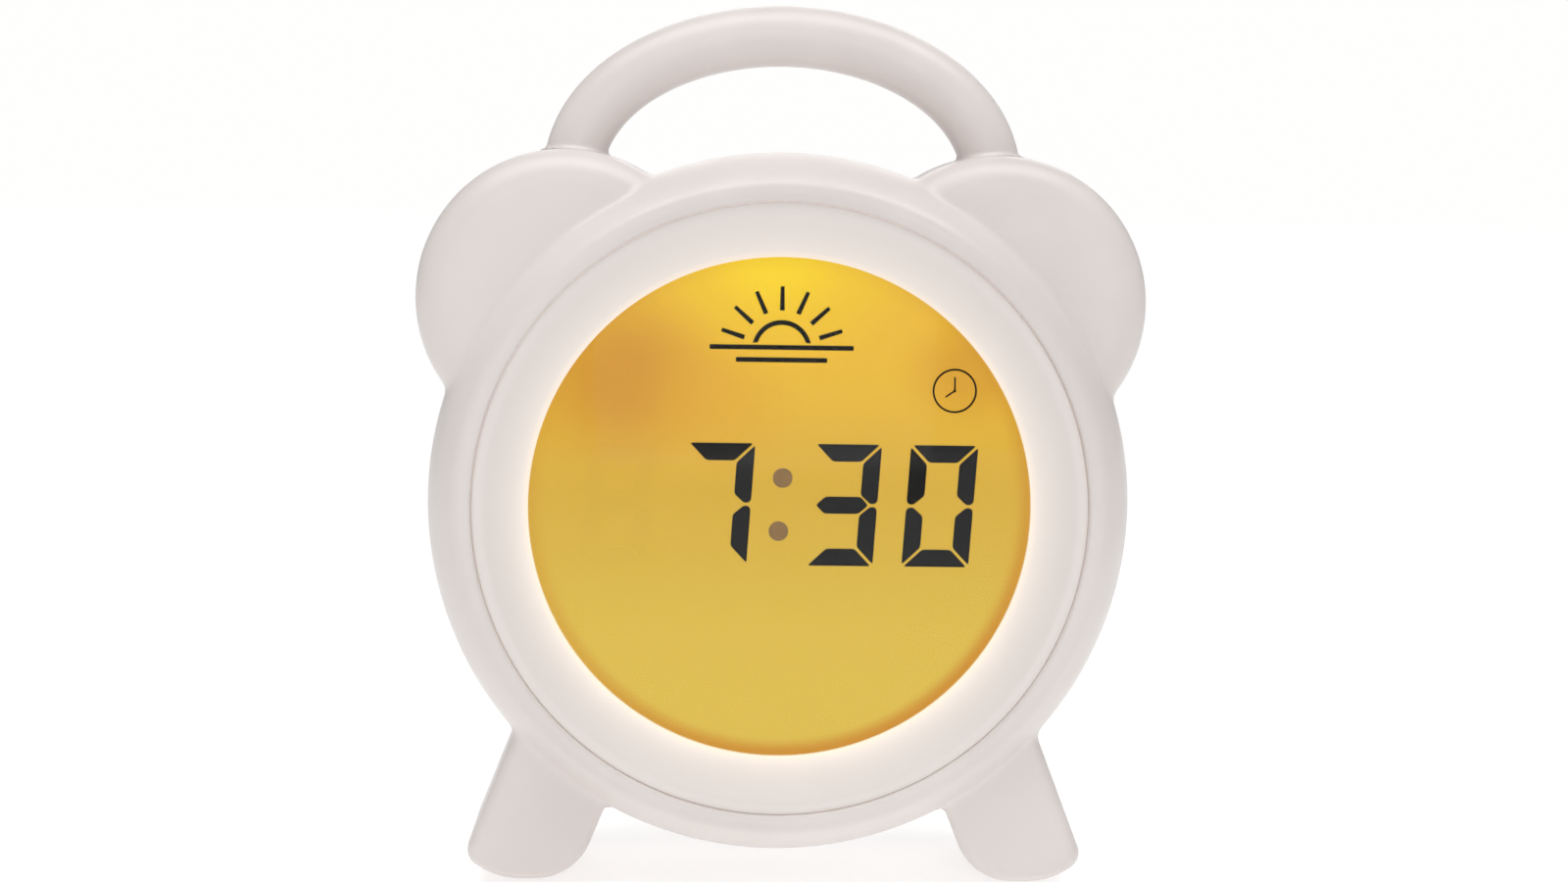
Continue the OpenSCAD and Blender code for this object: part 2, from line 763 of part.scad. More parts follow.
module rear_board() color([0.1, 0.4, 0.2]) difference() {
    at([0, 0]) rod(rear_flat_r, rear_board_y, on_board_y);
    at([0, -rear_flat_r / 2 - 7.5]) block(bay_w + 2 * bay_wall + 2, rear_flat_r + 1,
        rear_board_y - 1, on_board_y + 1);
    at([0, -rear_flat_r - 42]) block(3 * rear_flat_r, 2 * rear_flat_r, rear_board_y - 1, on_board_y + 1);
    at([0, speaker_z]) rod(speaker_r + 2, rear_board_y - 1, on_board_y + 1);
    for (p = rear_posts) at(p) rod(thread_r + 0.2, rear_board_y - 1, on_board_y + 1);
}

module key_switches() color([0.2, 0.2, 0.21]) for (s = [-1, 1], z = key_rows)
    at([s * key_x, z]) difference() {
        block(tact_w, tact_w, on_board_y, on_board_y + tact_h);
        rod(plunger_r + fit, on_board_y + tact_h - plunger_sink - key_travel - 0.3,
            on_board_y + tact_h + 1);
    }

function key_place(name) =
    let (i = search([name], key_names)[0])
    [i < 3 ? -key_x : key_x, key_rows[i % 3]];

key_y = on_board_y + tact_h + plunger_out;

module key(name) color([0.55, 0.56, 0.6]) at(key_place(name)) {
    rod(plunger_r + 0.4, key_y, rear_inner_y - 1.4);
    rod(key_flange_r, rear_inner_y - 1.5, rear_inner_y - gap);
    rod(key_d / 2 - 0.6, rear_inner_y - 1, rear_y + 1);
    rod(key_d / 2, rear_inner_y - 1, rear_y + 0.4);
    turned() translate([key_d / 2 - 0.6, rear_y + 0.4]) intersection() {
        circle(0.6);
        square(0.6);
    }
}

module key_plunger(name) color([0.9, 0.3, 0.25]) at(key_place(name))
    rod(plunger_r, on_board_y + tact_h - plunger_sink, key_y);

module slide_switches() color([0.6, 0.6, 0.62]) for (s = [-1, 1])
    at([s * slide_at[0], slide_at[1]]) difference() {
        block(5.4, slide_travel + 6.4, on_board_y, on_board_y + 4);
        block(slider_w + 2 * fit, slide_travel + slider_l + 0.4, on_board_y + 2, on_board_y + 5);
    }

// The knob rests at the lower end of its slot
module slider(s) color([0.55, 0.56, 0.6])
    at([s * slide_at[0], slide_at[1] - slide_travel / 2]) {
        block(slider_w, slider_l, on_board_y + 2.1, rear_y + 0.6);
        for (z = [-1, 0, 1]) translate([0, 0, z]) block(slider_w, 0.5, rear_y + 0.5, rear_y + 1);
    }

module inlet_body() color([0.1, 0.1, 0.1]) at(inlet_at) difference() {
    block(9, 11, on_board_y, rear_inner_y - fit);
    rod(inlet_hole_r, on_board_y + 1, rear_inner_y + 1);
}

module inlet_pin() color([0.8, 0.78, 0.7]) at(inlet_at)
    rod(inlet_pin_r, on_board_y + 1, rear_inner_y - 1);

// ---------- speaker ----------

module speaker_frame() color([0.6, 0.6, 0.62]) at([0, speaker_z]) turned() {
    polygon([
        [speaker_r - 3.4, rear_inner_y], [speaker_r, rear_inner_y], [speaker_r, speaker_y],
        [speaker_r - 1.6, speaker_y], [12, speaker_y - 6], [12, speaker_y - 7.2],
        [6, speaker_y - 7.2], [6, speaker_y - 6], [10.6, speaker_y - 6],
        [speaker_r - 3.4, speaker_y]
    ]);
}

module speaker_magnet() color([0.25, 0.25, 0.26]) at([0, speaker_z]) difference() {
    rod(10.5, speaker_y - 13.2, speaker_y - 7.2);
    ring(4, 5.4, speaker_y - 11, speaker_y - 7);
}

module speaker_cone() color([0.12, 0.12, 0.12]) at([0, speaker_z]) turned() {
    polygon([
        [speaker_r - 3.8, speaker_y + 1], [speaker_r - 3.8, speaker_y + 0.6],
        [5.1, speaker_y - 5], [5.1, speaker_y - 9], [4.5, speaker_y - 9], [4.5, speaker_y - 4.4],
        [0, speaker_y - 3.6], [0, speaker_y - 3], [5, speaker_y - 4]
    ]);
}

// Two short leads from the speaker's frame to the rear board
module speaker_wires() color([0.7, 0.1, 0.1]) for (z = [-1.5, 1.5]) {
    r = 0.6;
    start_x = 11;
    turn_x = speaker_r + 3.6;
    wire_y = on_board_y - 4.6;
    at([0, speaker_z + z]) {
        translate([start_x, wire_y, 0]) rotate([0, 90, 0]) cylinder(h = turn_x - start_x, r = r);
        translate([turn_x, wire_y + 2, 0]) rotate([0, 0, -90]) rotate_extrude(angle = 90)
            translate([2, 0]) circle(r);
        translate([turn_x + 2, 0, 0]) rod(r, wire_y + 2, rear_board_y);
    }
}

// ---------- batteries ----------

module cell(i) {
    s = i == 1 ? -1 : 1;
    at([0, bay_z + (1 - i) * cell_pitch]) translate([s * cell_shift, cell_y, 0]) rotate([0, s * 90, 0]) {
        color([0.15, 0.45, 0.3]) translate([0, 0, -cell_l / 2]) cylinder(h = cell_l - 1, r = cell_d / 2);
        color([0.8, 0.8, 0.8]) translate([0, 0, cell_l / 2 - 1]) cylinder(h = 1, r = 1.9);
    }
}

module battery_1() cell(0);
module battery_2() cell(1);
module battery_3() cell(2);

// A conical coil as one tube along the X axis
function coil_point(t) =
    let (a = 360 * spring_turns * t, r = spring_big + (spring_small - spring_big) * t)
    [spring_wire / 2 + (spring_len - spring_wire) * t, r * cos(a), r * sin(a)];

module coil() {
    rings = 8 * spring_turns;
    sides = 6;
    r = spring_wire / 2;
    points = [for (i = [0:rings]) let (
        t = i / rings, a = 360 * spring_turns * t, c = coil_point(t),
        out = [0, cos(a), sin(a)]
    ) for (k = [0:sides - 1]) c + r * (cos(60 * k) * out + sin(60 * k) * [1, 0, 0])];
    sides_faces = [for (i = [0:rings - 1], k = [0:sides - 1]) let (
        a = i * sides + k, b = i * sides + (k + 1) % sides
    ) each [[a, b, b + sides], [a, b + sides, a + sides]]];
    caps = [for (k = [1:sides - 2]) each [
        [0, k + 1, k], [rings * sides, rings * sides + k, rings * sides + k + 1]
    ]];
    polyhedron(points, concat(sides_faces, caps), convexity = 6);
}

least_gap = min([for (i = [0:40], j = [0:40]) if (abs(i - j) >= 8)
    norm(coil_point(i / 40) - coil_point(j / 40)) - spring_wire]);
echo(spring_gap = least_gap);

module battery_springs() color([0.8, 0.8, 0.8]) for (i = [0:2]) {
    s = i == 1 ? -1 : 1;
    at([0, bay_z + (1 - i) * cell_pitch]) translate([s * (plate_t - bay_w / 2), cell_y, 0])
        mirror([s < 0 ? 1 : 0, 0, 0]) coil();
}

module battery_contacts() color([0.8, 0.8, 0.8]) for (i = [0:2], s = [-1, 1])
    at([s * (bay_w - plate_t) / 2, bay_z + (1 - i) * cell_pitch])
        block(plate_t, cell_d - 1.5, cell_y - 4.5, cell_y + 4.5);

module battery_door() color([0.92, 0.91, 0.90]) difference() {
    union() {
        at([0, bay_z]) block(door_w, door_h, rear_y - door_t, rear_y);
        at([0, door_z1]) block(2 * door_tab, 2 * door_tab, rear_y - door_t, rear_y);
        for (s = [-1, 1]) at([s * tongue_x, door_z0])
            block(tongue_w, 3.6, rear_y - door_t - 1.6, rear_y - door_t + 0.1);
        at([0, bay_z]) for (x = [-16, 0, 16]) translate([x, 0, 0])
            block(1.2, bay_h - 6, rear_y - door_t - 0.7, rear_y - door_t + 0.1);
    }
    for (s = [-1, 1]) at([s * tongue_x, door_z0 - 1.8]) block(tongue_w + 1, 3.4,
        rear_y - door_t, rear_y - door_t + 0.1);
    at([0, door_screw_z]) rod(thread_r + 0.2, rear_y - door_t - 1, rear_y + 1);
    at([0, door_screw_z]) rod(head_r + 0.2, rear_y + head_out - head_h, rear_y + 1);
}

module door_screw() color([0.7, 0.7, 0.72])
    at([0, door_screw_z]) screw(rear_y + head_out, -1, 3, thread_r, 0.5);

// ---------- light and snooze bar ----------

module bar_slice(d0, d1, grow) {
    intersection() {
        difference() {
            drum(d0);
            drum(d1);
        }
        bar_cut(grow, 0, 0);
    }
}

module snooze_bar() color([0.95, 0.94, 0.92]) {
    bar_slice(0, wall + 1.9, 0);
    bar_slice(wall + 0.4, wall + 1.9, 1.5);
    translate([0, bar_y - 1.5, cz + snooze_z + board_t + tact_h + snooze_out])
        cylinder(h = drum_r - wall - 1 - snooze_z - board_t - tact_h - snooze_out, r = 2.6);
}

module snooze_board() color([0.1, 0.4, 0.2]) difference() {
    translate([-snooze_posts - 3.2, bar_y - 5, cz + snooze_z])
        cube([2 * snooze_posts + 6.4, 7, board_t]);
    for (s = [-1, 1]) translate([s * snooze_posts, bar_y - 1.5, cz + snooze_z - 1])
        cylinder(h = 5, r = thread_r + 0.2);
}

module snooze_switch() color([0.2, 0.2, 0.21]) translate([0, bar_y - 1.5, cz + snooze_z + board_t])
    difference() {
        translate([-tact_w / 2, -tact_w / 2, 0]) cube([tact_w, tact_w, tact_h]);
        translate([0, 0, tact_h - plunger_sink - bar_travel - 0.3])
            cylinder(h = tact_h, r = plunger_r + fit);
    }

module snooze_plunger() color([0.9, 0.3, 0.25])
    translate([0, bar_y - 1.5, cz + snooze_z + board_t + tact_h - plunger_sink])
        cylinder(h = plunger_sink + snooze_out, r = plunger_r);

// ---------- fasteners and pads ----------

module case_screws() color([0.7, 0.7, 0.72]) both() for (p = [ear_boss, foot_boss])
    at(p) screw(part_y + 3 + head_h, -1, 9);

module chassis_screws() color([0.7, 0.7, 0.72])
    for (a = [45:90:315]) at(chassis_boss_at * [cos(a), sin(a)])
        screw(chassis_y + chassis_t + head_h, -1, 7);

module board_screws() color([0.7, 0.7, 0.72]) {
    for (p = main_posts) at(p) screw(main_y + board_t + head_h, -1, board_t + 2);
    for (p = rear_posts) at(p) screw(rear_board_y - head_h, 1, board_t + 5);
    for (s = [-1, 1]) translate([s * snooze_posts, bar_y - 1.5, cz + snooze_z - head_h])
        rotate([90, 0, 0]) screw(0, 1, board_t + 4);
}

module foot_pads() color([0.85, 0.84, 0.83]) pad_shape(pad_out + pad_sink);

module set_key() key("set");
module hour_key() key("hour");
module minute_key() key("minute");
module alarm_key() key("alarm");
module sound_key() key("sound");
module light_key() key("light");
module set_plunger() key_plunger("set");
module hour_plunger() key_plunger("hour");
module minute_plunger() key_plunger("minute");
module alarm_plunger() key_plunger("alarm");
module sound_plunger() key_plunger("sound");
module light_plunger() key_plunger("light");
module alarm_slider() slider(-1);
module volume_slider() slider(1);

front_shell();
rear_shell();
carry_handle();
light_ring();
display_window();
lcd_front_glass();
lcd_rear_glass();
lcd_segments();
backlight_guide();
backlight_reflector();
backlight_leds();
lcd_connector();
display_chassis();
main_board();
controller_chip();
quartz_crystal();
capacitors();
light_board();
night_light_leds();
ribbon_cable();
rear_board();
key_switches();
slide_switches();
inlet_body();
inlet_pin();
speaker_frame();
speaker_magnet();
speaker_cone();
speaker_wires();
battery_1();
battery_2();
battery_3();
battery_springs();
battery_contacts();
battery_door();
door_screw();
snooze_bar();
snooze_board();
snooze_switch();
snooze_plunger();
set_key();
hour_key();
minute_key();
alarm_key();
sound_key();
light_key();
set_plunger();
hour_plunger();
minute_plunger();
alarm_plunger();
sound_plunger();
light_plunger();
alarm_slider();
volume_slider();
case_screws();
chassis_screws();
board_screws();
foot_pads();
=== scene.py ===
"""Kids alarm clock with night light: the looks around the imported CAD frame."""
import json
import math

import bmesh
import bpy
import numpy as np
from mathutils import Matrix, Vector


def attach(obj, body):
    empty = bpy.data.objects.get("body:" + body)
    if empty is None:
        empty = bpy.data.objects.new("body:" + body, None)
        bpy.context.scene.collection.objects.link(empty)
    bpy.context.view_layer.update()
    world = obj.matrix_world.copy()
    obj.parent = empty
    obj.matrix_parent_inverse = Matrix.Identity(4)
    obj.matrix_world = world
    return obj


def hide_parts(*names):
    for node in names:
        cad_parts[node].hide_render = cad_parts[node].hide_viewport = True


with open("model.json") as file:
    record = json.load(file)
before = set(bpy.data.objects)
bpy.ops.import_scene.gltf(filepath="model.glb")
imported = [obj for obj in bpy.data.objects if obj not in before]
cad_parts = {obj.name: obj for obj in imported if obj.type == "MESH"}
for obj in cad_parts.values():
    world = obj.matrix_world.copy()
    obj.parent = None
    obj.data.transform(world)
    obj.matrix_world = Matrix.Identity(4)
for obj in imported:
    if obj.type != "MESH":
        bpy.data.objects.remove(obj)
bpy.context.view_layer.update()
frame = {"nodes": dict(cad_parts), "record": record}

MM = 0.001
CZ = 81.0  # height of the drum's centre; shapes are built round it in mm, as (x, y, z - CZ)

# Depths, and the drum as (radius, depth); the front looks along -Y
FRONT_Y, PART_Y, REAR_Y = -25, -1.5, 24.0
WALL = 2.2
DRUM_R, REAR_FLAT_R, REAR_EDGE_Y, REAR_ROUND = 74, 56, 6, 18
FLANK_AT, FLANK_R = (54, -10), 20
CROWN_AT, CROWN_R = (66.04, -22), 3
CREST = (0.706, 0.708)  # where the crown's arc ends on the flank
BEAD_AT, BEAD_R, BEAD_FROM = (66.04, -20), 5, 62
OPENING_R, DISPLAY_R, WINDOW_Y = 63.9, 52.5, -18.5

# Ears and feet as (x, z), each on both sides
EAR_AT, EAR_R, EAR_Y, EAR_HALF, EAR_ROUND = (45.41, 42.94), 31.1, -3.25, 15.25, 7
FOOT_Y, FOOT_HALF, FOOT_ROUND, SOLE_Z = 0.0, 18.5, 2.6, -79.9
EAR_CREASE, FOOT_CREASE = 1.3, 1.6

# What sits in the rear casing, as (x, z)
EAR_BOSS, FOOT_BOSS, BOSS_R = (60.31, 57.03), (53.2, -69.5), 4.2
KEY_X, KEY_ROWS = 37, (36, 22, 8)
POSTS = ((27, 42), (-27, 42), (KEY_X + 9, -2), (-KEY_X - 9, -2))
KEY_SIDES = ((-1, ("set", "hour", "minute")), (1, ("alarm", "sound", "light")))
KEY_AT = {name: (side * KEY_X, z) for side, names in KEY_SIDES for name, z in zip(names, KEY_ROWS)}
SLOT_X, SLOT_Z, SLIDER_DOWN = 38.5, -10, 2
SPEAKER_AT, INLET_AT = (0, 24), (-38.5, -28)
GRILLE_PITCH, GRILLE_R = 4.6, 1.0
BAY, BAY_W, BAY_H, DOOR_W, DOOR_H = (0, -28), 51.6, 34.4, 56, 38
TAB_AT, TAB_W, DOOR_SCREW, TONGUE_X = (0, -9), 10.8, (0, -6.4), 18
BAR_L, BAR_W, BAR_Y, BAR_ROUND, BAR_GAP, BAR_POINTS = 40, 11, 9, 1.6, 0.7, 30

# Voxels for the casing, and a box that holds it
CELL, CAVITY_CELL = 1.25, 2.5
CASING_BOX = (-79, -27, -83), (79, 26, 77)

# ---------- camera ----------

# Lens, place and directions were fitted to the photo
cam_data = bpy.data.cameras.new("camera")
cam_data.lens, cam_data.sensor_width = 57.2, 36
cam_data.clip_start, cam_data.clip_end = 0.01, 20
cam = bpy.data.objects.new("camera", cam_data)
right, up, ahead = ((0.99928, -0.03427, 0.01608), (-0.01231, 0.10732, 0.99415), (0.03579, 0.99363, -0.10682))
turn = Matrix((right, up, [-v for v in ahead])).transposed()
cam.matrix_world = Matrix.Translation((-0.01798, -0.5335, 0.15067)) @ turn.to_4x4()
bpy.context.scene.collection.objects.link(cam)
bpy.context.scene.camera = cam

# ---------- meshes ----------

SLOT = {s["node"]: s["material_slot"] for s in frame["record"]["subparts"]}


def stands_for(o, node, body="clock"):
    """Puts a finished piece in a CAD node's place on its body, and hides the node."""
    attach(o, body)
    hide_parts(node)


def new_object(name, points, faces, smooth=True):
    """An object from points in mm round the drum's centre."""
    mesh = bpy.data.meshes.new(name)
    p = np.asarray(points, float) * MM + np.array([0, 0, CZ * MM])
    mesh.from_pydata(p.tolist(), [], [list(map(int, f)) for f in faces])
    mesh.validate()
    o = bpy.data.objects.new(name, mesh)
    bpy.context.scene.collection.objects.link(o)
    if smooth:
        mesh.shade_smooth()
    return o


def gradient(dist, p, e=0.02):
    """The slope of dist at the points p, by differences over e on both sides."""
    g = np.empty_like(p)
    for k in range(3):
        s = np.zeros(3)
        s[k] = e
        g[:, k] = (dist(p + s) - dist(p - s)) / (2 * e)
    return g


def surface(name, dist, lo, hi, h):
    """The closed surface dist = 0 by surface nets with cells of size h, its points then moved onto it."""
    n = [int((b - a) / h) + 2 for a, b in zip(lo, hi)]
    ax = [a + h * np.arange(k) for a, k in zip(lo, n)]
    d = dist(np.stack(np.meshgrid(*ax, indexing="ij"), -1).reshape(-1, 3)).reshape(n)
    cs = [k - 1 for k in n]
    count, acc, crossings = np.zeros(cs), np.zeros(cs + [3]), []
    for axis in range(3):
        u, v = [k for k in range(3) if k != axis]
        a, b = [slice(None)] * 3, [slice(None)] * 3
        a[axis], b[axis] = slice(0, -1), slice(1, None)
        d0, d1 = d[tuple(a)], d[tuple(b)]
        cross = (d0 < 0) != (d1 < 0)
        t = np.where(cross, d0 / np.where(cross, d0 - d1, 1), 0)
        crossings.append((cross, d0 < 0))
        for i in (0, 1):
            for j in (0, 1):
                e = [slice(None)] * 3
                e[u], e[v] = slice(i, i + cs[u]), slice(j, j + cs[v])
                c = cross[tuple(e)]
                count += c
                acc[..., axis] += np.where(c, t[tuple(e)], 0)
                acc[..., u] += c * i
                acc[..., v] += c * j
    active = count > 0
    index = np.full(cs, -1)
    index[active] = np.arange(active.sum())
    p = (np.argwhere(active) + acc[active] / count[active][:, None]) * h + np.array(lo)
    quads = []
    for axis, (cross, inside) in enumerate(crossings):
        u, v = [k for k in range(3) if k != axis]
        idx = np.argwhere(cross)
        idx = idx[(idx[:, u] > 0) & (idx[:, u] < n[u] - 1) & (idx[:, v] > 0) & (idx[:, v] < n[v] - 1)]
        corners = []
        for i, j in ((0, 0), (-1, 0), (-1, -1), (0, -1)):
            q = idx.copy()
            q[:, u] += i
            q[:, v] += j
            corners.append(index[tuple(q.T)])
        q = np.stack(corners, 1)
        flip = inside[tuple(idx.T)] == (axis == 1)
        q[flip] = q[flip][:, ::-1]
        quads.append(q)
    for _ in range(4):
        g = gradient(dist, p)
        step = dist(p)[:, None] * g / np.maximum((g * g).sum(1), 0.05)[:, None]
        p -= np.clip(step, -h, h)
    return new_object(name, p, np.concatenate(quads))


def lathe(name, section, centre=(0, 0), steps=160):
    """A closed section of (radius, depth) turned round the depth axis through centre (x, z)."""
    s = np.array(section, float)
    a = np.arange(steps) * 2 * math.pi / steps
    x = s[:, 0][None] * np.cos(a)[:, None] + centre[0]
    z = s[:, 0][None] * np.sin(a)[:, None] + centre[1]
    p = np.stack([x, np.broadcast_to(s[:, 1], x.shape), z], -1).reshape(-1, 3)
    m = len(s)
    faces = [
        (i * m + j, i * m + (j + 1) % m, (i + 1) % steps * m + (j + 1) % m, (i + 1) % steps * m + j)
        for i in range(steps) for j in range(m)
    ]
    o = new_object(name, p, faces)
    tidy(o)
    return o


def loft(name, loops, strips=False):
    """A closed solid through loops of equally many points (x, y, z), each end one face or strips across it."""
    n = len(loops[0])
    p = [q for loop in loops for q in loop]
    faces = [
        (k * n + i, k * n + (i + 1) % n, (k + 1) * n + (i + 1) % n, (k + 1) * n + i)
        for k in range(len(loops) - 1) for i in range(n)
    ]
    ends = [tuple(range(n))]
    if strips:
        ends = [(k, k + 1, n - 2 - k, n - 1 - k) for k in range(n // 2 - 1)]
    last = (len(loops) - 1) * n
    faces += [e[::-1] for e in ends] + [tuple(last + k for k in e) for e in ends]
    o = new_object(name, p, faces)
    tidy(o)
    return o


def tidy(o):
    """Merges double points and turns every face outwards."""
    bm = bmesh.new()
    bm.from_mesh(o.data)
    bmesh.ops.remove_doubles(bm, verts=bm.verts, dist=1e-7)
    bmesh.ops.dissolve_degenerate(bm, edges=bm.edges, dist=1e-8)
    bmesh.ops.recalc_face_normals(bm, faces=bm.faces)
    bm.to_mesh(o.data)
    bm.free()
    o.data.shade_smooth()


def boxed(name, lo, hi):
    """A box from the corner lo to the corner hi."""
    (x0, y0, z0), (x1, y1, z1) = lo, hi
    return loft(name, [[(x0, y, z0), (x1, y, z0), (x1, y, z1), (x0, y, z1)] for y in (y0, y1)])


def rrect(w, h, r, n=6, mid=0):
    """Outline of a rounded rectangle, centred, with mid more points along each side that runs across."""
    out = []
    for cx, cy, a0 in ((1, 1, 0), (-1, 1, 90), (-1, -1, 180), (1, -1, 270)):
        for i in range(n + 1):
            a = math.radians(a0 + 90 * i / n)
            out.append((cx * (w / 2 - r) + r * math.cos(a), cy * (h / 2 - r) + r * math.sin(a)))
        if cx == cy:
            x, y = out[-1]
            out += [(x * (1 - 2 * (i + 1) / (mid + 1)), y) for i in range(mid)]
    return out


def stack(name, centre, w, h, r, levels, n=6):
    """A solid of rounded rectangles round centre (x, z), one for each (depth, growth) in levels."""
    return loft(name, [
        [(x + centre[0], y, z + centre[1]) for x, z in rrect(w + 2 * g, h + 2 * g, r + g, n)] for y, g in levels
    ])


def flared(y0, y1, lip):
    """(depth, growth) of a cutter from y0 out through the face at y1, its rim rounded by lip."""
    turns = np.radians([0, 22, 45, 67, 90])
    rounding = [(y1 - lip + lip * math.sin(a), lip * (1 - math.cos(a))) for a in turns]
    return [(y0, 0), *rounding, (y1 + 1, lip)]


def pocket(name, centre, w, h, r, y0, y1, lip=0.35):
    """A cutter for a rounded rectangle from y0 out through the face at y1."""
    return stack(name, centre, w, h, r, flared(y0, y1, lip))


def hole(name, centre, r, y0, y1, lip, steps=48):
    """A cutter for a round hole from y0 out through the face at y1."""
    section = [(r + g, y) for y, g in flared(y0, y1, lip)]
    return lathe(name, [(0, y0), *section, (0, y1 + 1)], centre, steps)


def rod(name, centre, r, y0, y1, steps=32):
    """A round bar along the depth axis."""
    return lathe(name, [(0, y0), (r, y0), (r, y1), (0, y1)], centre, steps)


def cut(o, *others, op="DIFFERENCE"):
    """Cuts the others from o, or adds them to it, and deletes them."""
    for c in others:
        m = o.modifiers.new("cut", "BOOLEAN")
        m.solver, m.operation, m.object = "MANIFOLD", op, c
        dg = bpy.context.evaluated_depsgraph_get()
        mesh = bpy.data.meshes.new_from_object(o.evaluated_get(dg))
        o.modifiers.clear()
        old, o.data = o.data, mesh
        bpy.data.meshes.remove(old)
        bpy.data.objects.remove(c)
    return o


def paint(o, mat):
    """Gives every face of o one material."""
    o.data.materials.clear()
    o.data.materials.append(mat)
    o.data.polygons.foreach_set("material_index", [0] * len(o.data.polygons))
    return o


def polish(o, dist=None, angle=35):
    """Smooth shading: exact normals where the mesh lies on dist = 0, else by angle."""
    mesh = o.data
    mesh.shade_smooth()
    mesh.set_sharp_from_angle(angle=math.radians(angle))
    if dist is None:
        return o
    loops = len(mesh.loops)
    normal = np.empty(loops * 3, np.float32)
    mesh.corner_normals.foreach_get("vector", normal)
    normal = normal.reshape(-1, 3)
    vert = np.empty(loops, np.int32)
    mesh.loops.foreach_get("vertex_index", vert)
    co = np.empty(len(mesh.vertices) * 3, np.float32)
    mesh.vertices.foreach_get("co", co)
    p = co.reshape(-1, 3).astype(float) / MM - np.array([0, 0, CZ])
    g = gradient(dist, p)
    g /= np.maximum(np.linalg.norm(g, axis=1), 1e-9)[:, None]
    near = np.abs(dist(p)) < 0.02
    size = np.empty(len(mesh.polygons), np.int32)
    mesh.polygons.foreach_get("loop_total", size)
    face = np.empty(len(mesh.polygons) * 3, np.float32)
    mesh.polygons.foreach_get("normal", face)
    face = np.repeat(face.reshape(-1, 3), size, 0)
    use = near[vert] & ((g[vert] * face).sum(1) > 0.8)
    normal[use] = g[vert][use]
    mesh.normals_split_custom_set(normal.tolist())
    return o


# ---------- distances to the casing, in mm ----------

def blend_min(a, b, k):
    """The union of two distances with their crease rounded over k."""
    h = np.maximum(k - np.abs(a - b), 0) / k
    return np.minimum(a, b) - h * h * k / 4


def drum(p):
    """The drum, turned about the depth axis: bead, crown, flank, straight rim and rounded rear edge."""
    r, y = np.hypot(p[:, 0], p[:, 2]), p[:, 1]
    du, dv = r - CROWN_AT[0], y - CROWN_AT[1]
    flank = np.hypot(r - FLANK_AT[0], y - FLANK_AT[1]) - FLANK_R
    crown = np.hypot(du, dv) - CROWN_R
    on_crown = (du >= 0) & (CREST[1] * dv + CREST[0] * du <= 0)
    bead = np.where(r > BEAD_FROM, np.hypot(r - BEAD_AT[0], y - BEAD_AT[1]) - BEAD_R, FRONT_Y - y)
    front = np.where(on_crown, crown, np.where(du < 0, np.maximum(FRONT_Y - y, bead), flank))
    middle = np.maximum(r - DRUM_R, FRONT_Y - y)
    rear = np.where(r > REAR_FLAT_R, np.hypot(r - REAR_FLAT_R, y - REAR_EDGE_Y) - REAR_ROUND, y - REAR_Y)
    return np.where(y < FLANK_AT[1], front, np.where(y <= REAR_EDGE_Y, middle, rear))


def round_max(a, b, r):
    """The overlap of two distances with the edge rounded by r."""
    return np.minimum(-r, np.maximum(a, b)) + np.hypot(np.maximum(a + r, 0), np.maximum(b + r, 0))


def ear(p):
    """Distance to the two ears: flat discs with rounded edges."""
    outline = np.hypot(np.abs(p[:, 0]) - EAR_AT[0], p[:, 2] - EAR_AT[1]) - EAR_R
    return round_max(outline, np.abs(p[:, 1] - EAR_Y) - EAR_HALF, EAR_ROUND)


def tangents(corners, step=6):
    """Half planes (across, up, offset) round a convex outline of (x, z, radius), anticlockwise."""
    planes = []
    for k, (x, z, r) in enumerate(corners):
        (xa, za, _), (xb, zb, _) = corners[k - 1], corners[(k + 1) % len(corners)]
        a0, a1 = math.atan2(xa - x, z - za), math.atan2(x - xb, zb - z)
        a1 += 2 * math.pi * (a1 < a0)
        half = (a1 - a0) / 2
        m = a0 + half
        cx, cz = x - r / math.cos(half) * math.cos(m), z - r / math.cos(half) * math.sin(m)
        for a in np.linspace(a0, a1, max(2, int(math.degrees(a1 - a0) / step) + 2)):
            planes.append((math.cos(a), math.sin(a), cx * math.cos(a) + cz * math.sin(a) + r))
    return np.array(planes)


FOOT = tangents([
    (50.4, -35.3, 3), (33.05, -56.9, 3), (42.35, SOLE_Z, 12.5), (58.5, SOLE_Z, 16), (66.03, -75.3, 4),
])


def foot(p):
    """Distance to the two feet: the slab that FOOT's planes bound."""
    x, z = np.abs(p[:, 0]), p[:, 2]
    d = np.full(len(p), -1e9)
    for c, s, k in FOOT:
        d = np.maximum(d, x * c + z * s - k)
    return round_max(d, np.abs(p[:, 1] - FOOT_Y) - FOOT_HALF, FOOT_ROUND)


def casing(p):
    """Distance to the whole casing."""
    return blend_min(blend_min(drum(p), ear(p), EAR_CREASE), foot(p), FOOT_CREASE)


# ---------- casing ----------

def inner_wall(p):
    return casing(p) + WALL


def outside(x, y, h=0.0):
    """Height over the drum's centre of the surface h outside the drum, behind its flank."""
    r = DRUM_R + h
    if y >= REAR_EDGE_Y:
        r = REAR_FLAT_R + math.sqrt((REAR_ROUND + h) ** 2 - (y - REAR_EDGE_Y) ** 2)
    return math.sqrt(r * r - x * x)


def shell_half(name, front):
    """One half of the hollow casing, cut a hair short of the parting plane."""
    hair, far = 0.06, 100
    o = surface(name, casing, *CASING_BOX, CELL)
    cut(o, surface("cavity", inner_wall, *CASING_BOX, CAVITY_CELL))
    y0, y1 = (PART_Y - hair, 40) if front else (-40, PART_Y + hair)
    cut(o, boxed("half", (-far, y0, -far), (far, y1, far)))
    return o


front = shell_half("front_shell_smooth", True)
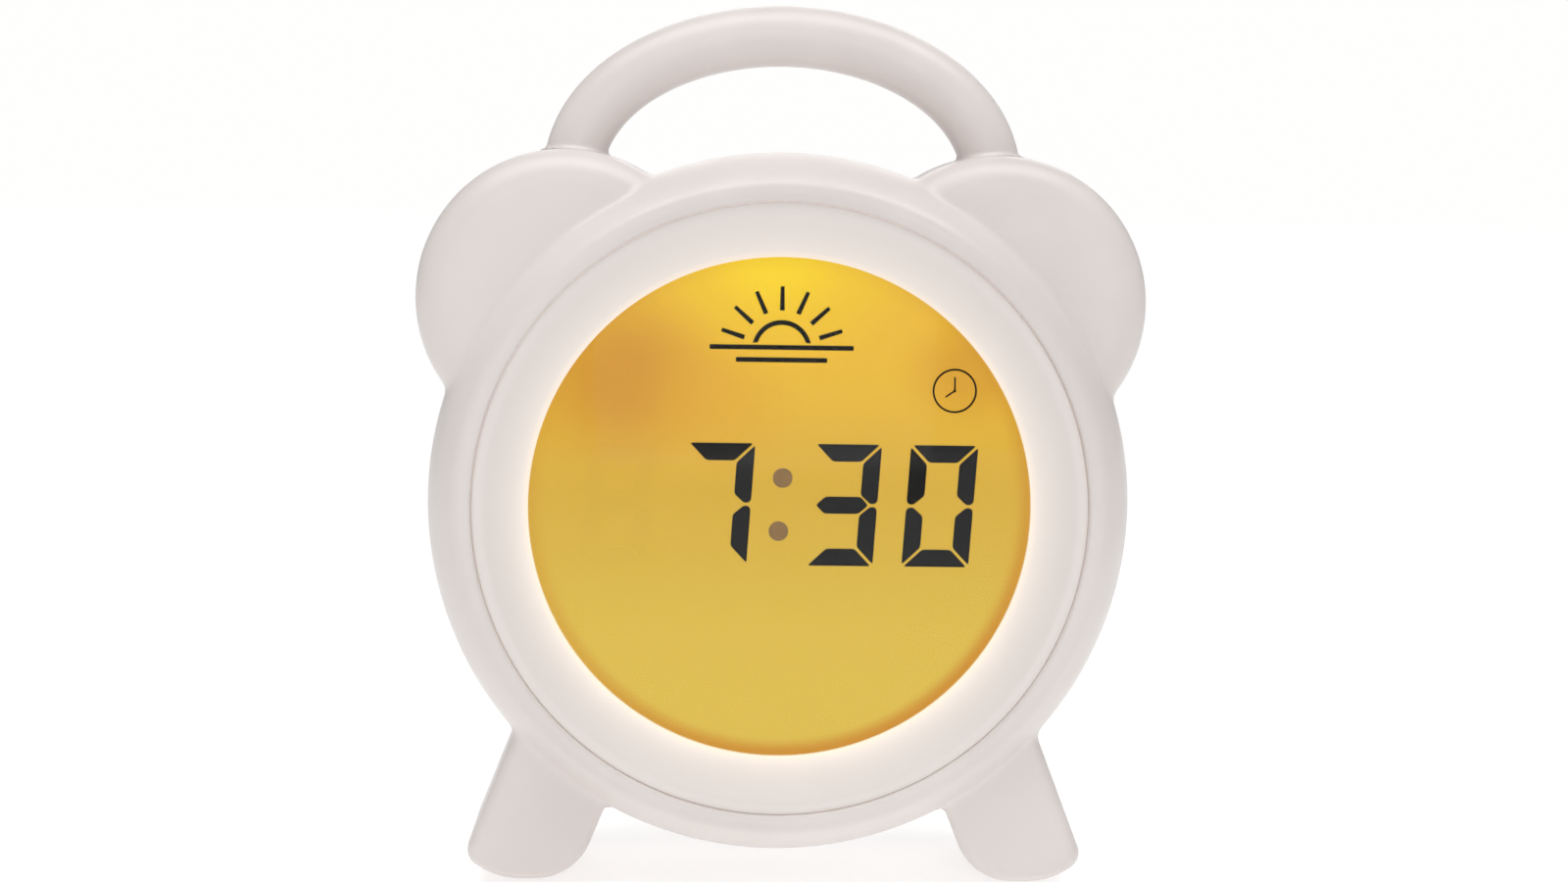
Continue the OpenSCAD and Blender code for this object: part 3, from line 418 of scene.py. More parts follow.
# The opening flares towards the front; pairs of (growth, depth)
flare = [(0.62, -30), (0.62, -24.84), (0.4, -24.66), (0.22, -24.42), (0.08, -24.1), (0, -23.7), (0, -17)]
cut(front, lathe("opening", [(0, -30), *((OPENING_R + g, y) for g, y in flare), (0, -17)], steps=240))
polish(front, casing)
stands_for(front, "front_shell")

rear = shell_half("rear_shell_smooth", False)
IN_WALL, SEAT_Y, UNDER_WALL = 22.3, 22, 20  # depths inside the rear wall, at the door's seat, below the wall
extra = [
    boxed("bay", (-27.4, 8.65, -46.8), (27.4, IN_WALL, -9.2)),
    boxed("bay_frame", (-30, 19.8, -49), (30, IN_WALL, -7)),
    lathe("speaker_rim", [(18.2, 18), (19.8, 18), (19.8, IN_WALL), (18.2, IN_WALL)], SPEAKER_AT, 64),
]
for side in (-1, 1):
    for x, z, y1 in ((*EAR_BOSS, 10.9), (*FOOT_BOSS, 17.4)):
        extra.append(rod("boss", (side * x, z), BOSS_R, PART_Y + 0.1, y1))
extra.append(rod("door_boss", DOOR_SCREW, 3.4, 14.2, IN_WALL))
extra += [rod("board_post", at, 3, 13, IN_WALL) for at in POSTS]
cut(rear, *extra, op="UNION")
cuts = [
    pocket("bay_room", BAY, BAY_W, BAY_H, 0.8, 10.25, 22.1, 0.01),
    pocket("door_seat", BAY, DOOR_W + 0.6, DOOR_H + 0.6, 2.2, SEAT_Y, REAR_Y, 0.4),
    pocket("tab_seat", TAB_AT, TAB_W + 0.6, 11.2, 2.2, SEAT_Y, REAR_Y, 0.4),
]
for side in (-1, 1):
    x = side * TONGUE_X
    cuts.append(boxed("tongue_room", (x - 4.4, UNDER_WALL, -49.6), (x + 4.4, 22.1, -44.4)))
    cuts.append(pocket("slot", (side * SLOT_X, SLOT_Z), 3.4, 7.8, 0.9, UNDER_WALL, REAR_Y))
    for x, z, y1 in ((*EAR_BOSS, 12), (*FOOT_BOSS, 18.5)):
        cuts.append(rod("screw_way", (side * x, z), 1.5, -3, 1.5, 24))
        cuts.append(hole("head_way", (side * x, z), 3.0, 1.5, y1, 0.35, 36))
cuts += [hole("key_way", at, 4.5, UNDER_WALL, REAR_Y, 0.45) for at in KEY_AT.values()]
cuts.append(hole("inlet_way", INLET_AT, 3.5, UNDER_WALL, REAR_Y, 0.5))
cuts.append(hole("door_screw_way", DOOR_SCREW, 1.9, 16, SEAT_Y, 0.2, 32))
cuts += [hole("post_pilot", at, 1.25, 12, 19, 0.01, 20) for at in POSTS]
for k in range(3):
    for i in range(max(1, 6 * k)):
        a, r = i * math.pi / 3 / max(k, 1), GRILLE_PITCH * k
        at = (r * math.cos(a), SPEAKER_AT[1] + r * math.sin(a))
        cuts.append(hole("grille", at, GRILLE_R, UNDER_WALL, REAR_Y, 0.28, 20))
cut(rear, *cuts)
w, h = BAR_L + BAR_GAP, BAR_W + BAR_GAP
bar_way = [[(x, y + BAR_Y, 60) for x, y in rrect(w, h, BAR_ROUND, mid=BAR_POINTS)]]
for g, out in ((0, -0.4), (0.06, -0.25), (0.18, -0.1), (0.4, 0.0), (0.4, 3)):
    outline = rrect(w + 2 * g, h + 2 * g, BAR_ROUND + g, mid=BAR_POINTS)
    bar_way.append([(x, y + BAR_Y, outside(x, y + BAR_Y, out)) for x, y in outline])
cut(rear, loft("bar_way", bar_way, strips=True))
polish(rear, casing)
stands_for(rear, "rear_shell")


# ---------- materials ----------

def linear(*rgb):
    """sRGB 0-255 to a linear colour with alpha."""
    shares = (v / 255 for v in rgb)
    return tuple(c / 12.92 if c <= 0.04045 else ((c + 0.055) / 1.055) ** 2.4 for c in shares) + (1,)


class Nodes:
    """A material's node tree, built by calls: node(kind, {input: value or socket}, property=value)."""

    def __init__(self, name):
        self.mat = bpy.data.materials.new(name)
        self.mat.use_nodes = True
        self.tree = self.mat.node_tree
        self.tree.nodes.clear()
        self.out = self.node("ShaderNodeOutputMaterial")
        self.coords = self.node("ShaderNodeTexCoord").outputs["Object"]

    def node(self, kind, inputs=None, **props):
        n = self.tree.nodes.new(kind)
        for key, value in props.items():
            setattr(n, key, value)
        for key, value in (inputs or {}).items():
            s = n.inputs[key]
            if isinstance(value, bpy.types.NodeSocket):
                self.tree.links.new(value, s)
            else:
                s.default_value = value
        return n

    def math(self, op, *values):
        return self.node("ShaderNodeMath", dict(enumerate(values)), operation=op).outputs[0]

    def noise(self, scale, detail=2.0, rough=0.5, coords=None):
        return self.node("ShaderNodeTexNoise", {
            "Vector": coords or self.coords, "Scale": scale, "Detail": detail, "Roughness": rough,
        }).outputs["Fac"]

    def span(self, value, a, b, c=0.0, d=1.0, smooth=True):
        n = self.node("ShaderNodeMapRange", {
            "Value": value, "From Min": a, "From Max": b, "To Min": c, "To Max": d,
        }, interpolation_type="SMOOTHSTEP" if smooth else "LINEAR")
        return n.outputs["Result"]

    def gloss(self, scale, low, high, detail=2.0):
        """Roughness that wanders between low and high in patches."""
        return self.span(self.noise(scale, detail), 0.3, 0.7, low, high)

    def place(self, axis):
        return self.node("ShaderNodeSeparateXYZ", {0: self.coords}).outputs[axis]

    def cells(self, scale):
        """Distance from the middle of the nearest cell."""
        return self.node("ShaderNodeTexVoronoi", {"Vector": self.coords, "Scale": scale}).outputs["Distance"]

    def mix(self, factor, a, b, blend="MIX"):
        n = self.node("ShaderNodeMix", {0: factor, 6: a, 7: b}, data_type="RGBA", blend_type=blend)
        return n.outputs[2]

    def away(self, x, z, stretch=1.0):
        """Distance in mm from a point (x, z) of the face, seen from the front."""
        centre = (x * MM, 0, (z + CZ) * MM)
        v = self.node("ShaderNodeVectorMath", {0: self.coords, 1: centre}, operation="SUBTRACT").outputs[0]
        in_mm = (1000, 0, 1000 * stretch)
        v = self.node("ShaderNodeVectorMath", {0: v, 1: in_mm}, operation="MULTIPLY").outputs[0]
        return self.node("ShaderNodeVectorMath", {0: v}, operation="LENGTH").outputs["Value"]

    def height(self):
        """Height in mm over the drum's centre."""
        return self.math("MULTIPLY_ADD", self.place(2), 1000.0, -CZ)

    def bump(self, height, distance):
        return self.node("ShaderNodeBump", {"Height": height, "Distance": distance, "Strength": 1.0}).outputs[0]

    def principled(self, **inputs):
        values = {k.replace("_", " "): v for k, v in inputs.items()}
        shader = self.node("ShaderNodeBsdfPrincipled", values)
        self.tree.links.new(shader.outputs[0], self.out.inputs[0])
        return self.mat


def moulded(name, colour, shade, rough=(0.3, 0.4), grain=0.012, scale=1.0):
    """Moulded plastic: a slightly uneven tone, satin gloss, orange peel and a fine grain, grain mm high."""
    m = Nodes(name)
    tone = m.mix(m.span(m.noise(28 * scale, 3), 0.35, 0.65), linear(*shade), linear(*colour))
    gloss = m.gloss(140 * scale, *rough, 3)
    fine = m.noise(2600 * scale, 2, 0.6)
    peel = m.noise(330 * scale, 1)
    height = m.math("MULTIPLY_ADD", peel, 1.6, fine)
    return m.principled(Base_Color=tone, Roughness=gloss, Normal=m.bump(height, grain * MM))


body_white = moulded("satin_white_plastic", (226, 219, 216), (221, 213, 210))
for o in (front, rear):
    paint(o, body_white)


# ---------- handle ----------

def swept(name, path, radius, steps, grow):
    """A round tube along a path in the x-z plane at depth PART_Y; grow(points) gives extra radius."""
    path = np.array(path, float)
    t = np.gradient(path, axis=0)
    t /= np.linalg.norm(t, axis=1)[:, None]
    across = np.stack([-t[:, 1], t[:, 0]], 1)
    a = np.arange(steps) * 2 * math.pi / steps

    def ring_points(r):
        x = path[:, None, 0] + across[:, None, 0] * r * np.cos(a)
        z = path[:, None, 1] + across[:, None, 1] * r * np.cos(a)
        y = PART_Y + r * np.sin(a) + 0 * x
        return np.stack([x, y, z], -1)

    n = len(path)
    p = ring_points(np.full((n, steps), radius))
    p = ring_points(radius + grow(p.reshape(-1, 3)).reshape(n, steps))
    faces = [
        (i * steps + j, i * steps + (j + 1) % steps, (i + 1) * steps + (j + 1) % steps, (i + 1) * steps + j)
        for i in range(n - 1) for j in range(steps)
    ]
    faces += [tuple(range(steps)), tuple(range((n - 1) * steps, n * steps))[::-1]]
    o = new_object(name, p.reshape(-1, 3), faces)
    tidy(o)
    return o


LEG_X, LEG_TOP, RISE, TUBE_R = 44.36, 68.74, 29.65, 6.35
arch = [(LEG_X * math.cos(a), LEG_TOP + RISE * math.sin(a)) for a in np.linspace(0, math.pi, 140)]
leg = [(LEG_X, z) for z in np.arange(64, LEG_TOP, 0.8)]
path = leg + arch + [(-x, z) for x, z in leg[::-1]]


def root_fillet(p, r=1.3):
    """Extra radius for a fillet of radius r where the tube meets the ear, drawn in again inside it."""
    d = np.clip(r - ear(p), 0, r)
    return r - np.sqrt(r * r - d * d) - np.where(ear(p) < 0, np.clip(-ear(p), 0, 1) * 2, 0)


def refined(path, lo, hi, step):
    """More points where the path runs between the heights lo and hi."""
    out = [path[0]]
    for a, b in zip(path, path[1:]):
        n = max(1, int(math.dist(a, b) / step)) if lo < (a[1] + b[1]) / 2 < hi else 1
        out += [(a[0] + (b[0] - a[0]) * i / n, a[1] + (b[1] - a[1]) * i / n) for i in range(1, n + 1)]
    return out


handle = swept("handle_smooth", refined(path, 70, 79, 0.25), TUBE_R, 64, root_fillet)
paint(handle, body_white)
stands_for(handle, "carry_handle")

# ---------- glowing dish ----------

DISH_RISE, DISH_RUN, DISH_BEND = 4.7, 8.7, 1.35
dish = [
    (r, WINDOW_Y - DISH_RISE * ((r - DISPLAY_R) / DISH_RUN) ** DISH_BEND)
    for r in np.linspace(DISPLAY_R, 61.0, 16)
]
# its lip, its outer wall in the opening, then the flange and the seat behind
dish += [
    (61.5, -23.42), (62.0, -23.6), (62.5, -23.74), (63.0, -23.82), (63.4, -23.84), (63.68, -23.78),
    (63.8, -23.65),
]
dish += [(63.82, -22.6), (65.8, -22.6), (65.8, -21), (61, -21), (56.1, -17.4), (DISPLAY_R, -17.4)]
ring = lathe("light_ring_smooth", dish, steps=220)
polish(ring)
stands_for(ring, "light_ring")


def glowing(name):
    """The dish: milky plastic lit from behind, brightest at its inner edge, with painted light low down and
    painted light in its gap.
    """
    m = Nodes(name)
    r = m.away(0, 0)
    # Painted light: the dish glows more low down, where it faces up into the overhead light.
    low = m.span(m.height(), -55, 50, 1, 0)
    near = m.math("POWER", m.span(r, 52.3, 62.5, 1, 0, smooth=False), 2.2)
    patch = m.span(m.noise(40, 2), 0.3, 0.7, 0.92, 1.04)
    level = m.math("MULTIPLY", m.math("MULTIPLY", near, patch), m.math("MULTIPLY_ADD", low, 0.14, 0.17))
    edge = m.span(r, 52.4, 54.2, 1, 0)
    # Painted light in the gap between the dish and the casing, where shade falls.
    gap_painted_light = m.span(r, 63.78, 63.83)
    colour = m.mix(edge, linear(255, 236, 205), linear(255, 214, 140))
    colour = m.mix(gap_painted_light, colour, linear(232, 220, 222))
    strength = m.math("MULTIPLY_ADD", edge, 0.1, m.math("MULTIPLY_ADD", gap_painted_light, 0.55, level))
    tone = m.mix(m.noise(30, 3), linear(229, 221, 217), linear(233, 226, 222))
    return m.principled(
        Base_Color=tone, Roughness=m.gloss(150, 0.32, 0.4), Emission_Color=colour, Emission_Strength=strength,
        Normal=m.bump(m.noise(2200, 2), 0.008 * MM))


paint(ring, glowing("glowing_translucent_plastic"))

# ---------- display ----------

# Depths of the layers behind the window
INK_Y, INK_BACK, GHOST_Y = -15.1, -14.92, -15.0
GLASS_R, FRONT_GLASS, REAR_GLASS = 55.3, (-16.2, -15.1), (-14.9, -13.8)

window = lathe("display_window_lens", [
    (0, WINDOW_Y), (52.15, WINDOW_Y), (52.3, -18.44), (52.35, -18.3), (52.35, -17.3), (56.8, -17.3),
    (56.8, -16.3), (0, -16.3),
], steps=220)
polish(window)
stands_for(window, "display_window")
m = Nodes("clear_window")
paint(window, m.principled(
    Base_Color=(1, 1, 1, 1), Roughness=m.gloss(60, 0.03, 0.06, 3), IOR=1.2, Transmission_Weight=1.0,
    Normal=m.bump(m.noise(90, 2), 0.01 * MM)))


def amber(name, dim=1.0):
    """The back-lit display: brightest near its top, with darker blots beside that, and a painted shadow round
    the rim, strongest low on the right.
    """
    m = Nodes(name)
    h = m.height()
    tone = m.mix(m.span(h, -40, 12), linear(218, 186, 72), linear(212, 170, 58))
    tone = m.mix(m.span(h, 0, 34), tone, linear(233, 183, 48))
    for x, z, size, colour, top in (  # blots round (x, z), each with its size and strength
        (-33, 27, 27, (204, 140, 42), 0.85), (-14, 22, 20, (222, 165, 44), 0.6),
        (39, 29, 17, (211, 150, 44), 0.75), (0, 57, 36, (244, 202, 36), 1.0), (-2, 52, 16, (250, 212, 30), 0.8),
    ):
        tone = m.mix(m.span(m.away(x, z, 1.15), size * 0.15, size, top, 0), tone, linear(*colour))
    # Painted shadow round the rim, where the recess shades the display, strongest low down on the right.
    side = m.span(m.away(22, -46), 20, 105, 1, 0.15)
    rim = m.math("MULTIPLY", m.span(m.away(0, 0), 49.0, 52.2), side)
    tone = m.mix(rim, tone, linear(204, 142, 44))
    grain = m.span(m.noise(1500, 2, 0.7), 0.3, 0.7, 0.985 * dim, 1.015 * dim)
    shade = m.mix(1.0, tone, grain, "MULTIPLY")
    return m.principled(
        Base_Color=(0.02, 0.015, 0.005, 1), Roughness=m.gloss(400, 0.5, 0.6), Specular_IOR_Level=0.1,
        Emission_Color=shade, Emission_Strength=1.0)


def glass(name, y0, y1, node, mat, tab=False):
    """A round glass with its edges broken; the front one has a tab below for its contacts."""
    r, edge = GLASS_R, 0.1
    o = lathe(name, [
        (0, y0), (r - edge, y0), (r, y0 + edge), (r, y1 - edge), (r - edge, y1), (0, y1),
    ], steps=200)
    if tab:
        cut(o, boxed("tab", (-24, y0, -59.3), (24, y1, -30)), op="UNION")
    polish(o)
    stands_for(o, node)
    paint(o, mat)


glass("lcd_rear_glass_lit", *REAR_GLASS, "lcd_rear_glass", amber("amber_backlit_glass"))
m = Nodes("clear_lcd_glass")
clear = m.principled(
    Base_Color=(1, 1, 1, 1), Roughness=m.gloss(50, 0.01, 0.03), IOR=1.04, Transmission_Weight=1.0)
glass("lcd_front_glass_clear", *FRONT_GLASS, "lcd_front_glass", clear, tab=True)


def round_outline(points, r, n=4):
    """A polygon with its corners rounded by r."""
    out = []
    for a, b, c in zip([points[-1], *points[:-1]], points, [*points[1:], points[0]]):
        a, b, c = (np.array(v, float) for v in (a, b, c))
        u, v = (a - b) / np.linalg.norm(a - b), (c - b) / np.linalg.norm(c - b)
        d = min(r, 0.45 * np.linalg.norm(a - b), 0.45 * np.linalg.norm(c - b))
        out += [tuple(b + u * d * (1 - t) ** 2 + v * d * t ** 2) for t in np.linspace(0, 1, n)]
    return out


def plates(name, outlines, mat, y0=INK_Y, y1=INK_BACK):
    """Thin flat shapes on the display's rear glass as one piece."""
    points, faces = [], []
    for o in outlines:
        n, k = len(o), len(points)
        points += [(x, y, z) for y in (y0, y1) for x, z in o]
        faces += [tuple(range(k, k + n)), tuple(range(k + n, k + 2 * n))[::-1]]
        faces += [(k + i, k + n + i, k + n + (i + 1) % n, k + (i + 1) % n) for i in range(n)]
    o = new_object(name, points, faces, smooth=False)
    bm = bmesh.new()
    bm.from_mesh(o.data)
    bmesh.ops.triangulate(bm, faces=[f for f in bm.faces if len(f.verts) > 4])
    bmesh.ops.recalc_face_normals(bm, faces=bm.faces)
    bm.to_mesh(o.data)
    bm.free()
    paint(o, mat)
    stands_for(o, "lcd_segments")


# A digit round its centre: half its width and height, a stroke's width, half the split at a corner
W2, H2, STROKE, SPLIT, LEAN = 7.05, 12.85, 3.65, 0.42, math.tan(math.radians(3.5))
DIGITS_Z, STROKE_ROUND = 0.55, 0.55
ACROSS = [
    (-W2 + SPLIT, H2), (W2 - SPLIT, H2), (W2 - STROKE - SPLIT, H2 - STROKE),
    (-W2 + STROKE + SPLIT, H2 - STROKE),
]
UP = [
    (W2, H2 - SPLIT), (W2, 0.95), (W2 - 0.6, 0.32), (W2 - 1.5, 0.32), (W2 - STROKE, 2.2),
    (W2 - STROKE, H2 - STROKE - SPLIT),
]
MIDDLE = [(-W2 + 1.2, 0), (-W2 + 3.1, 1.8), (W2 - 3.6, 1.8), (W2 - 1.9, 0), (W2 - 3.9, -1.8), (-W2 + 3.1, -1.8)]


def flipped(o, sx, sz):
    """An outline mirrored by the signs sx and sz."""
    return [(x * sx, z * sz) for x, z in o]


STROKES = {
    "top": ACROSS, "mid": MIDDLE, "low": flipped(ACROSS, 1, -1), "ur": UP, "ul": flipped(UP, -1, 1),
    "lr": flipped(UP, 1, -1), "ll": flipped(UP, -1, -1),
}


def strokes(x0, names):
    """The named strokes of the leaning digit at x0."""
    return [
        [(x + z * LEAN + x0, z + DIGITS_Z) for x, z in round_outline(STROKES[n], STROKE_ROUND)] for n in names
    ]


def arc(x, z, r, a0, a1, n=24):
    """Points on a circle round (x, z) from angle a0 to a1, in degrees."""
    return [(x + r * math.cos(a), z + r * math.sin(a)) for a in np.radians(np.linspace(a0, a1, n))]


def ring_outlines(x, z, r0, r1, parts=4):
    """A ring as a few arcs that meet end to end."""
    step = 360 / parts
    ends = [(k * step, (k + 1) * step) for k in range(parts)]
    return [arc(x, z, r1, a, b) + arc(x, z, r0, b, a) for a, b in ends]


def line(x, z, a, d0, d1, w0, w1=None):
    """A straight stroke from distance d0 to d1 along the angle a, w0 wide and w1 at its far end."""
    w1 = w0 if w1 is None else w1
    c, s = math.cos(math.radians(a)), math.sin(math.radians(a))
    corners = ((d0, w0 / 2), (d1, w1 / 2), (d1, -w1 / 2), (d0, -w0 / 2))
    return [(x + c * d - s * w, z + s * d + c * w) for d, w in corners]


def ink(name, colour, strength):
    """A dark stroke of the display that glows in its own colour: painted light for the lamps' light on it
    through the glass, and in the half-dark colon the back light that shines through.
    """
    m = Nodes(name)
    tone = m.mix(m.noise(900, 2), linear(*colour), linear(*[v * 0.85 for v in colour]))
    # The glow in the ink's own colour is painted light for the lamps' light on it; in the colon it stands for
    # the back light.
    return m.principled(
        Base_Color=tone, Roughness=m.gloss(500, 0.5, 0.65), Specular_IOR_Level=0.15, Emission_Color=tone,
        Emission_Strength=strength)


# 7:30, with an unlit digit before it; the 7's top and the 0's upper left are darker in the photo
UNLIT_X, HOUR_X, TEN_X, MINUTE_X = -33.9, -13.1, 13.4, 33.6
lit = strokes(HOUR_X, ["ur", "lr"]) + strokes(TEN_X, ["top", "mid", "low", "ur", "lr"])
lit += strokes(MINUTE_X, ["top", "low", "ur", "lr", "ll"])
plates("lcd_digits", lit, ink("lcd_ink", (46, 46, 47), 0.55))

full = strokes(HOUR_X, ["top"]) + strokes(MINUTE_X, ["ul"])
CLOCK, HAND = (36.2, 24.9), 0.34
full += ring_outlines(*CLOCK, 4.25, 4.65) + ring_outlines(*CLOCK, 0.02, 0.3)
full += [line(*CLOCK, 90, -0.15, 2.9, HAND), line(*CLOCK, 214.7, 0, 2.3, HAND)]
SUN, SUN_LINE = (-0.1, 33), 1.0
full.append(arc(*SUN, 6.2, 13, 167) + arc(*SUN, 5.2, 163, 17))
full += [line(SUN[0], z, 0, -half, half, SUN_LINE) for z, half in ((33.5, 15), (30.9, 9.5))]
full += [line(*SUN, a, 8.2, 13.2, SUN_LINE, 0.8) for a in range(18, 163, 24)]
plates("lcd_digits_full", full, ink("lcd_ink_full", (14, 12, 11), 0.3))

dots = [arc(x, z, 2.07, 0, 352.5, 48) for x, z in ((0.53, 6.16), (-0.19, -5.07))]
plates("lcd_colon", dots, ink("lcd_ink_half", (140, 115, 80), 0.92))
plates("lcd_unlit", strokes(UNLIT_X, STROKES), amber("amber_unlit_strokes", 0.975), y0=GHOST_Y)


# ---------- snooze bar, door, keys, sliders and pads ----------

loops = []
# Up the bar's sides, round its edge and in over its top: pairs of (growth, height outside the drum)
for g, h in (
    (0, -4.1), (0, -0.9), (-0.07, -0.55), (-0.26, -0.26), (-0.55, -0.07), (-0.9, 0), (-2, 0), (-3.2, 0),
    (-4.3, 0), (-5.2, 0),
):
    outline = rrect(BAR_L + 2 * g, BAR_W + 2 * g, max(BAR_ROUND + g, 0.2), 8, BAR_POINTS)
    loops.append([(x, y + BAR_Y, outside(x, y + BAR_Y, h)) for x, y in outline])
bar = loft("snooze_bar_cap", loops, strips=True)
stem = loft("stem", [[(x, y + BAR_Y - 1.5, z) for x, y in rrect(5.2, 5.2, 2.5)] for z in (63.6, 71)])
cut(bar, stem, op="UNION")
polish(bar)

panel = ((22.1, 0), (23.65, 0), (23.83, -0.05), (23.95, -0.17), (REAR_Y, -0.35))
door = stack("door", BAY, DOOR_W, DOOR_H, 2, panel)
tab = stack("tab", TAB_AT, TAB_W, TAB_W, 2, panel)
tongues = [boxed("tongue", (x - 4, 20.5, -48.8), (x + 4, 22.2, -45.5)) for x in (-TONGUE_X, TONGUE_X)]
ribs = [boxed("rib", (x - 0.6, 21.4, -42.2), (x + 0.6, 22.2, -13.8)) for x in (-16, 0, 16)]
cut(door, tab, *tongues, *ribs, op="UNION")
GRIP_Z, GRIP_PITCH = -14.5, 1.7
for k, w in enumerate((15, 11.5, 8, 4.5)):
    cut(door, loft("grip", [
        [(x, y, z + GRIP_Z - GRIP_PITCH * k) for x, z in rrect(w, 0.55 + 2 * g, 0.27 + g * 0.9, 4)]
        for y, g in ((23.75, 0), (23.85, 0.07), (24.05, 0.24), (24.5, 0.4))
    ]))
cut(door, hole("screw_hole", DOOR_SCREW, 1.4, 21, REAR_Y, 0.1, 32))
cut(door, hole("head_seat", DOOR_SCREW, 2.8, 22.7, REAR_Y, 0.25, 40))
polish(door)


def key_cap(name, x, z):
    """A round key: stem, flange under the wall, and a dished cap with a rounded rim."""
    top, edge, hollow_r, hollow = 24.95, 0.6, 3.3, 0.3
    turn = np.radians([0, 20, 40, 60, 80, 90])
    section = [(0, 17.6), (2.1, 17.6), (2.1, 20.3), (5.2, 20.3), (5.2, 21.6), (4.2, 21.6), (4.2, 24.25)]
    section += [(3.6 + edge * math.cos(a), 24.35 + edge * math.sin(a)) for a in turn]
    section += [(r, top - hollow * (1 - (r / hollow_r) ** 2)) for r in (3.3, 2.6, 1.8, 0.9, 0.0)]
    return polish(lathe(name, section, (x, z), 64))


def slider(name, x):
    """A slide knob at the lower end of its slot, with three grip ribs across it."""
    z = SLOT_Z - SLIDER_DOWN
    o = loft(name, [
        [(a + x, y, b + z) for a, b in rrect(2.6 + 2 * g, 3 + 2 * g, 0.45, 5)]
        for y, g in ((15.3, 0), (24.4, 0), (24.55, -0.05), (24.62, -0.2))
    ])
    ribs = [
        loft("rib", [
            [(a + x, y, b + z + k) for a, b in rrect(2.5 + 2 * g, 0.5 + 2 * g, 0.2 + g * 0.5, 4)]
            for y, g in ((24.2, 0), (24.8, 0), (24.93, -0.06), (24.98, -0.15))
        ]) for k in (-1, 0, 1)
    ]
    return polish(cut(o, *ribs, op="UNION"))


def pad(name, x):
    """A rubber pad under a foot, let into its sole."""
    loops = []
    for z, g in ((-79, 0), (-80.55, 0), (-80.8, -0.08), (-80.93, -0.22), (-81, -0.45)):
        loops.append([(a + x, b, z) for a, b in rrect(9 + 2 * g, 16 + 2 * g, 4.45 + g, 10)])
    return polish(loft(name, loops))


PAD_X = 52.42
PIECES = [(bar, "snooze_button", "snooze_bar"), (door, "door", "battery_door")]
PIECES += [(key_cap(k + "_key_cap", *at), k + "_button", k + "_key") for k, at in KEY_AT.items()]
PIECES += [
    (slider("alarm_slide_knob", SLOT_X), "alarm_switch", "alarm_slider"),
    (slider("volume_slide_knob", -SLOT_X), "volume_switch", "volume_slider"),
    (pad("pad_left", -PAD_X), "clock", "foot_pads"),
    (pad("pad_right", PAD_X), "clock", "foot_pads"),
]
for o, body, node in PIECES:
    stands_for(o, node, body)
door.name = "battery_door_panel"

# ---------- finishes of the other pieces ----------

def metal(name, bright, dark, rough, brushed=(1, 1, 1), coarse=600, bump=0.004):
    """Bare metal: streaks along the axis that brushed stretches, and duller patches."""
    m = Nodes(name)
    way = m.node("ShaderNodeVectorMath", {0: m.coords, 1: brushed}, operation="MULTIPLY").outputs[0]
    streak = m.noise(coarse, 3, 0.6, way)
    patch = m.noise(90, 3)
    tone = m.mix(m.span(patch, 0.35, 0.7), linear(*bright), linear(*dark))
    gloss = m.math("MULTIPLY_ADD", streak, 0.12, m.span(patch, 0.3, 0.7, rough, rough + 0.1))
    return m.principled(Base_Color=tone, Metallic=1.0, Roughness=gloss, Normal=m.bump(streak, bump * MM))


def circuit(name, mask, track):
    """Solder mask over copper tracks, which run in two directions, with round solder pads."""
    m = Nodes(name)
    lines = []
    for axis in ("X", "Z"):
        w = m.node("ShaderNodeTexWave", {
            "Vector": m.coords, "Scale": 190.0, "Distortion": 1.2, "Detail": 1.0, "Detail Scale": 90.0,
        }, bands_direction=axis, wave_profile="SIN").outputs["Fac"]
        lines.append(m.span(w, 0.62, 0.75))
    zone = m.span(m.noise(85, 1), 0.48, 0.52)
    copper = m.mix(zone, lines[0], lines[1])
    dot = m.span(m.cells(260.0), 0.2, 0.26, 1, 0)
    tone = m.mix(copper, linear(*mask), linear(*track))
    tone = m.mix(dot, tone, linear(205, 208, 206))
    return m.principled(
        Base_Color=tone, Roughness=m.gloss(300, 0.24, 0.36), Metallic=m.math("MULTIPLY", dot, 0.8),
        Normal=m.bump(m.math("ADD", copper, dot), 0.03 * MM))


def wrapped(name, colour, shade, band, axis, where, rough=0.28):
    """A printed sleeve: one colour, and another from a place along an axis onwards, in metres."""
    m = Nodes(name)
    tone = m.mix(m.span(m.noise(60, 3), 0.3, 0.7), linear(*colour), linear(*shade))
    tone = m.mix(m.span(m.place(axis), where - 0.0004, where), tone, linear(*band))
    return m.principled(
        Base_Color=tone, Roughness=m.gloss(200, rough, rough + 0.1), Coat_Weight=0.3,
        Normal=m.bump(m.noise(420, 3), 0.02 * MM))


def striped(name, one, other, axis, pitch, rough=0.5, edge=0.15):
    """Two colours in even stripes across an axis, each pitch metres wide."""
    m = Nodes(name)
    wave = m.math("SINE", m.math("MULTIPLY", m.place(axis), math.pi / pitch))
    stripe = m.span(wave, -edge, edge)
    tone = m.mix(stripe, linear(*one), linear(*other))
    return m.principled(
        Base_Color=tone, Roughness=m.gloss(300, rough, rough + 0.12), Normal=m.bump(stripe, 0.05 * MM))


def lamp_lens(name, core, rim, strength):
    """A small lamp: a lit chip under a milky lens."""
    m = Nodes(name)
    tone = m.mix(m.span(m.cells(900.0), 0.1, 0.5), linear(*core), linear(*rim))
    return m.principled(
        Base_Color=tone, Roughness=m.gloss(500, 0.2, 0.3), Emission_Color=tone, Emission_Strength=strength)


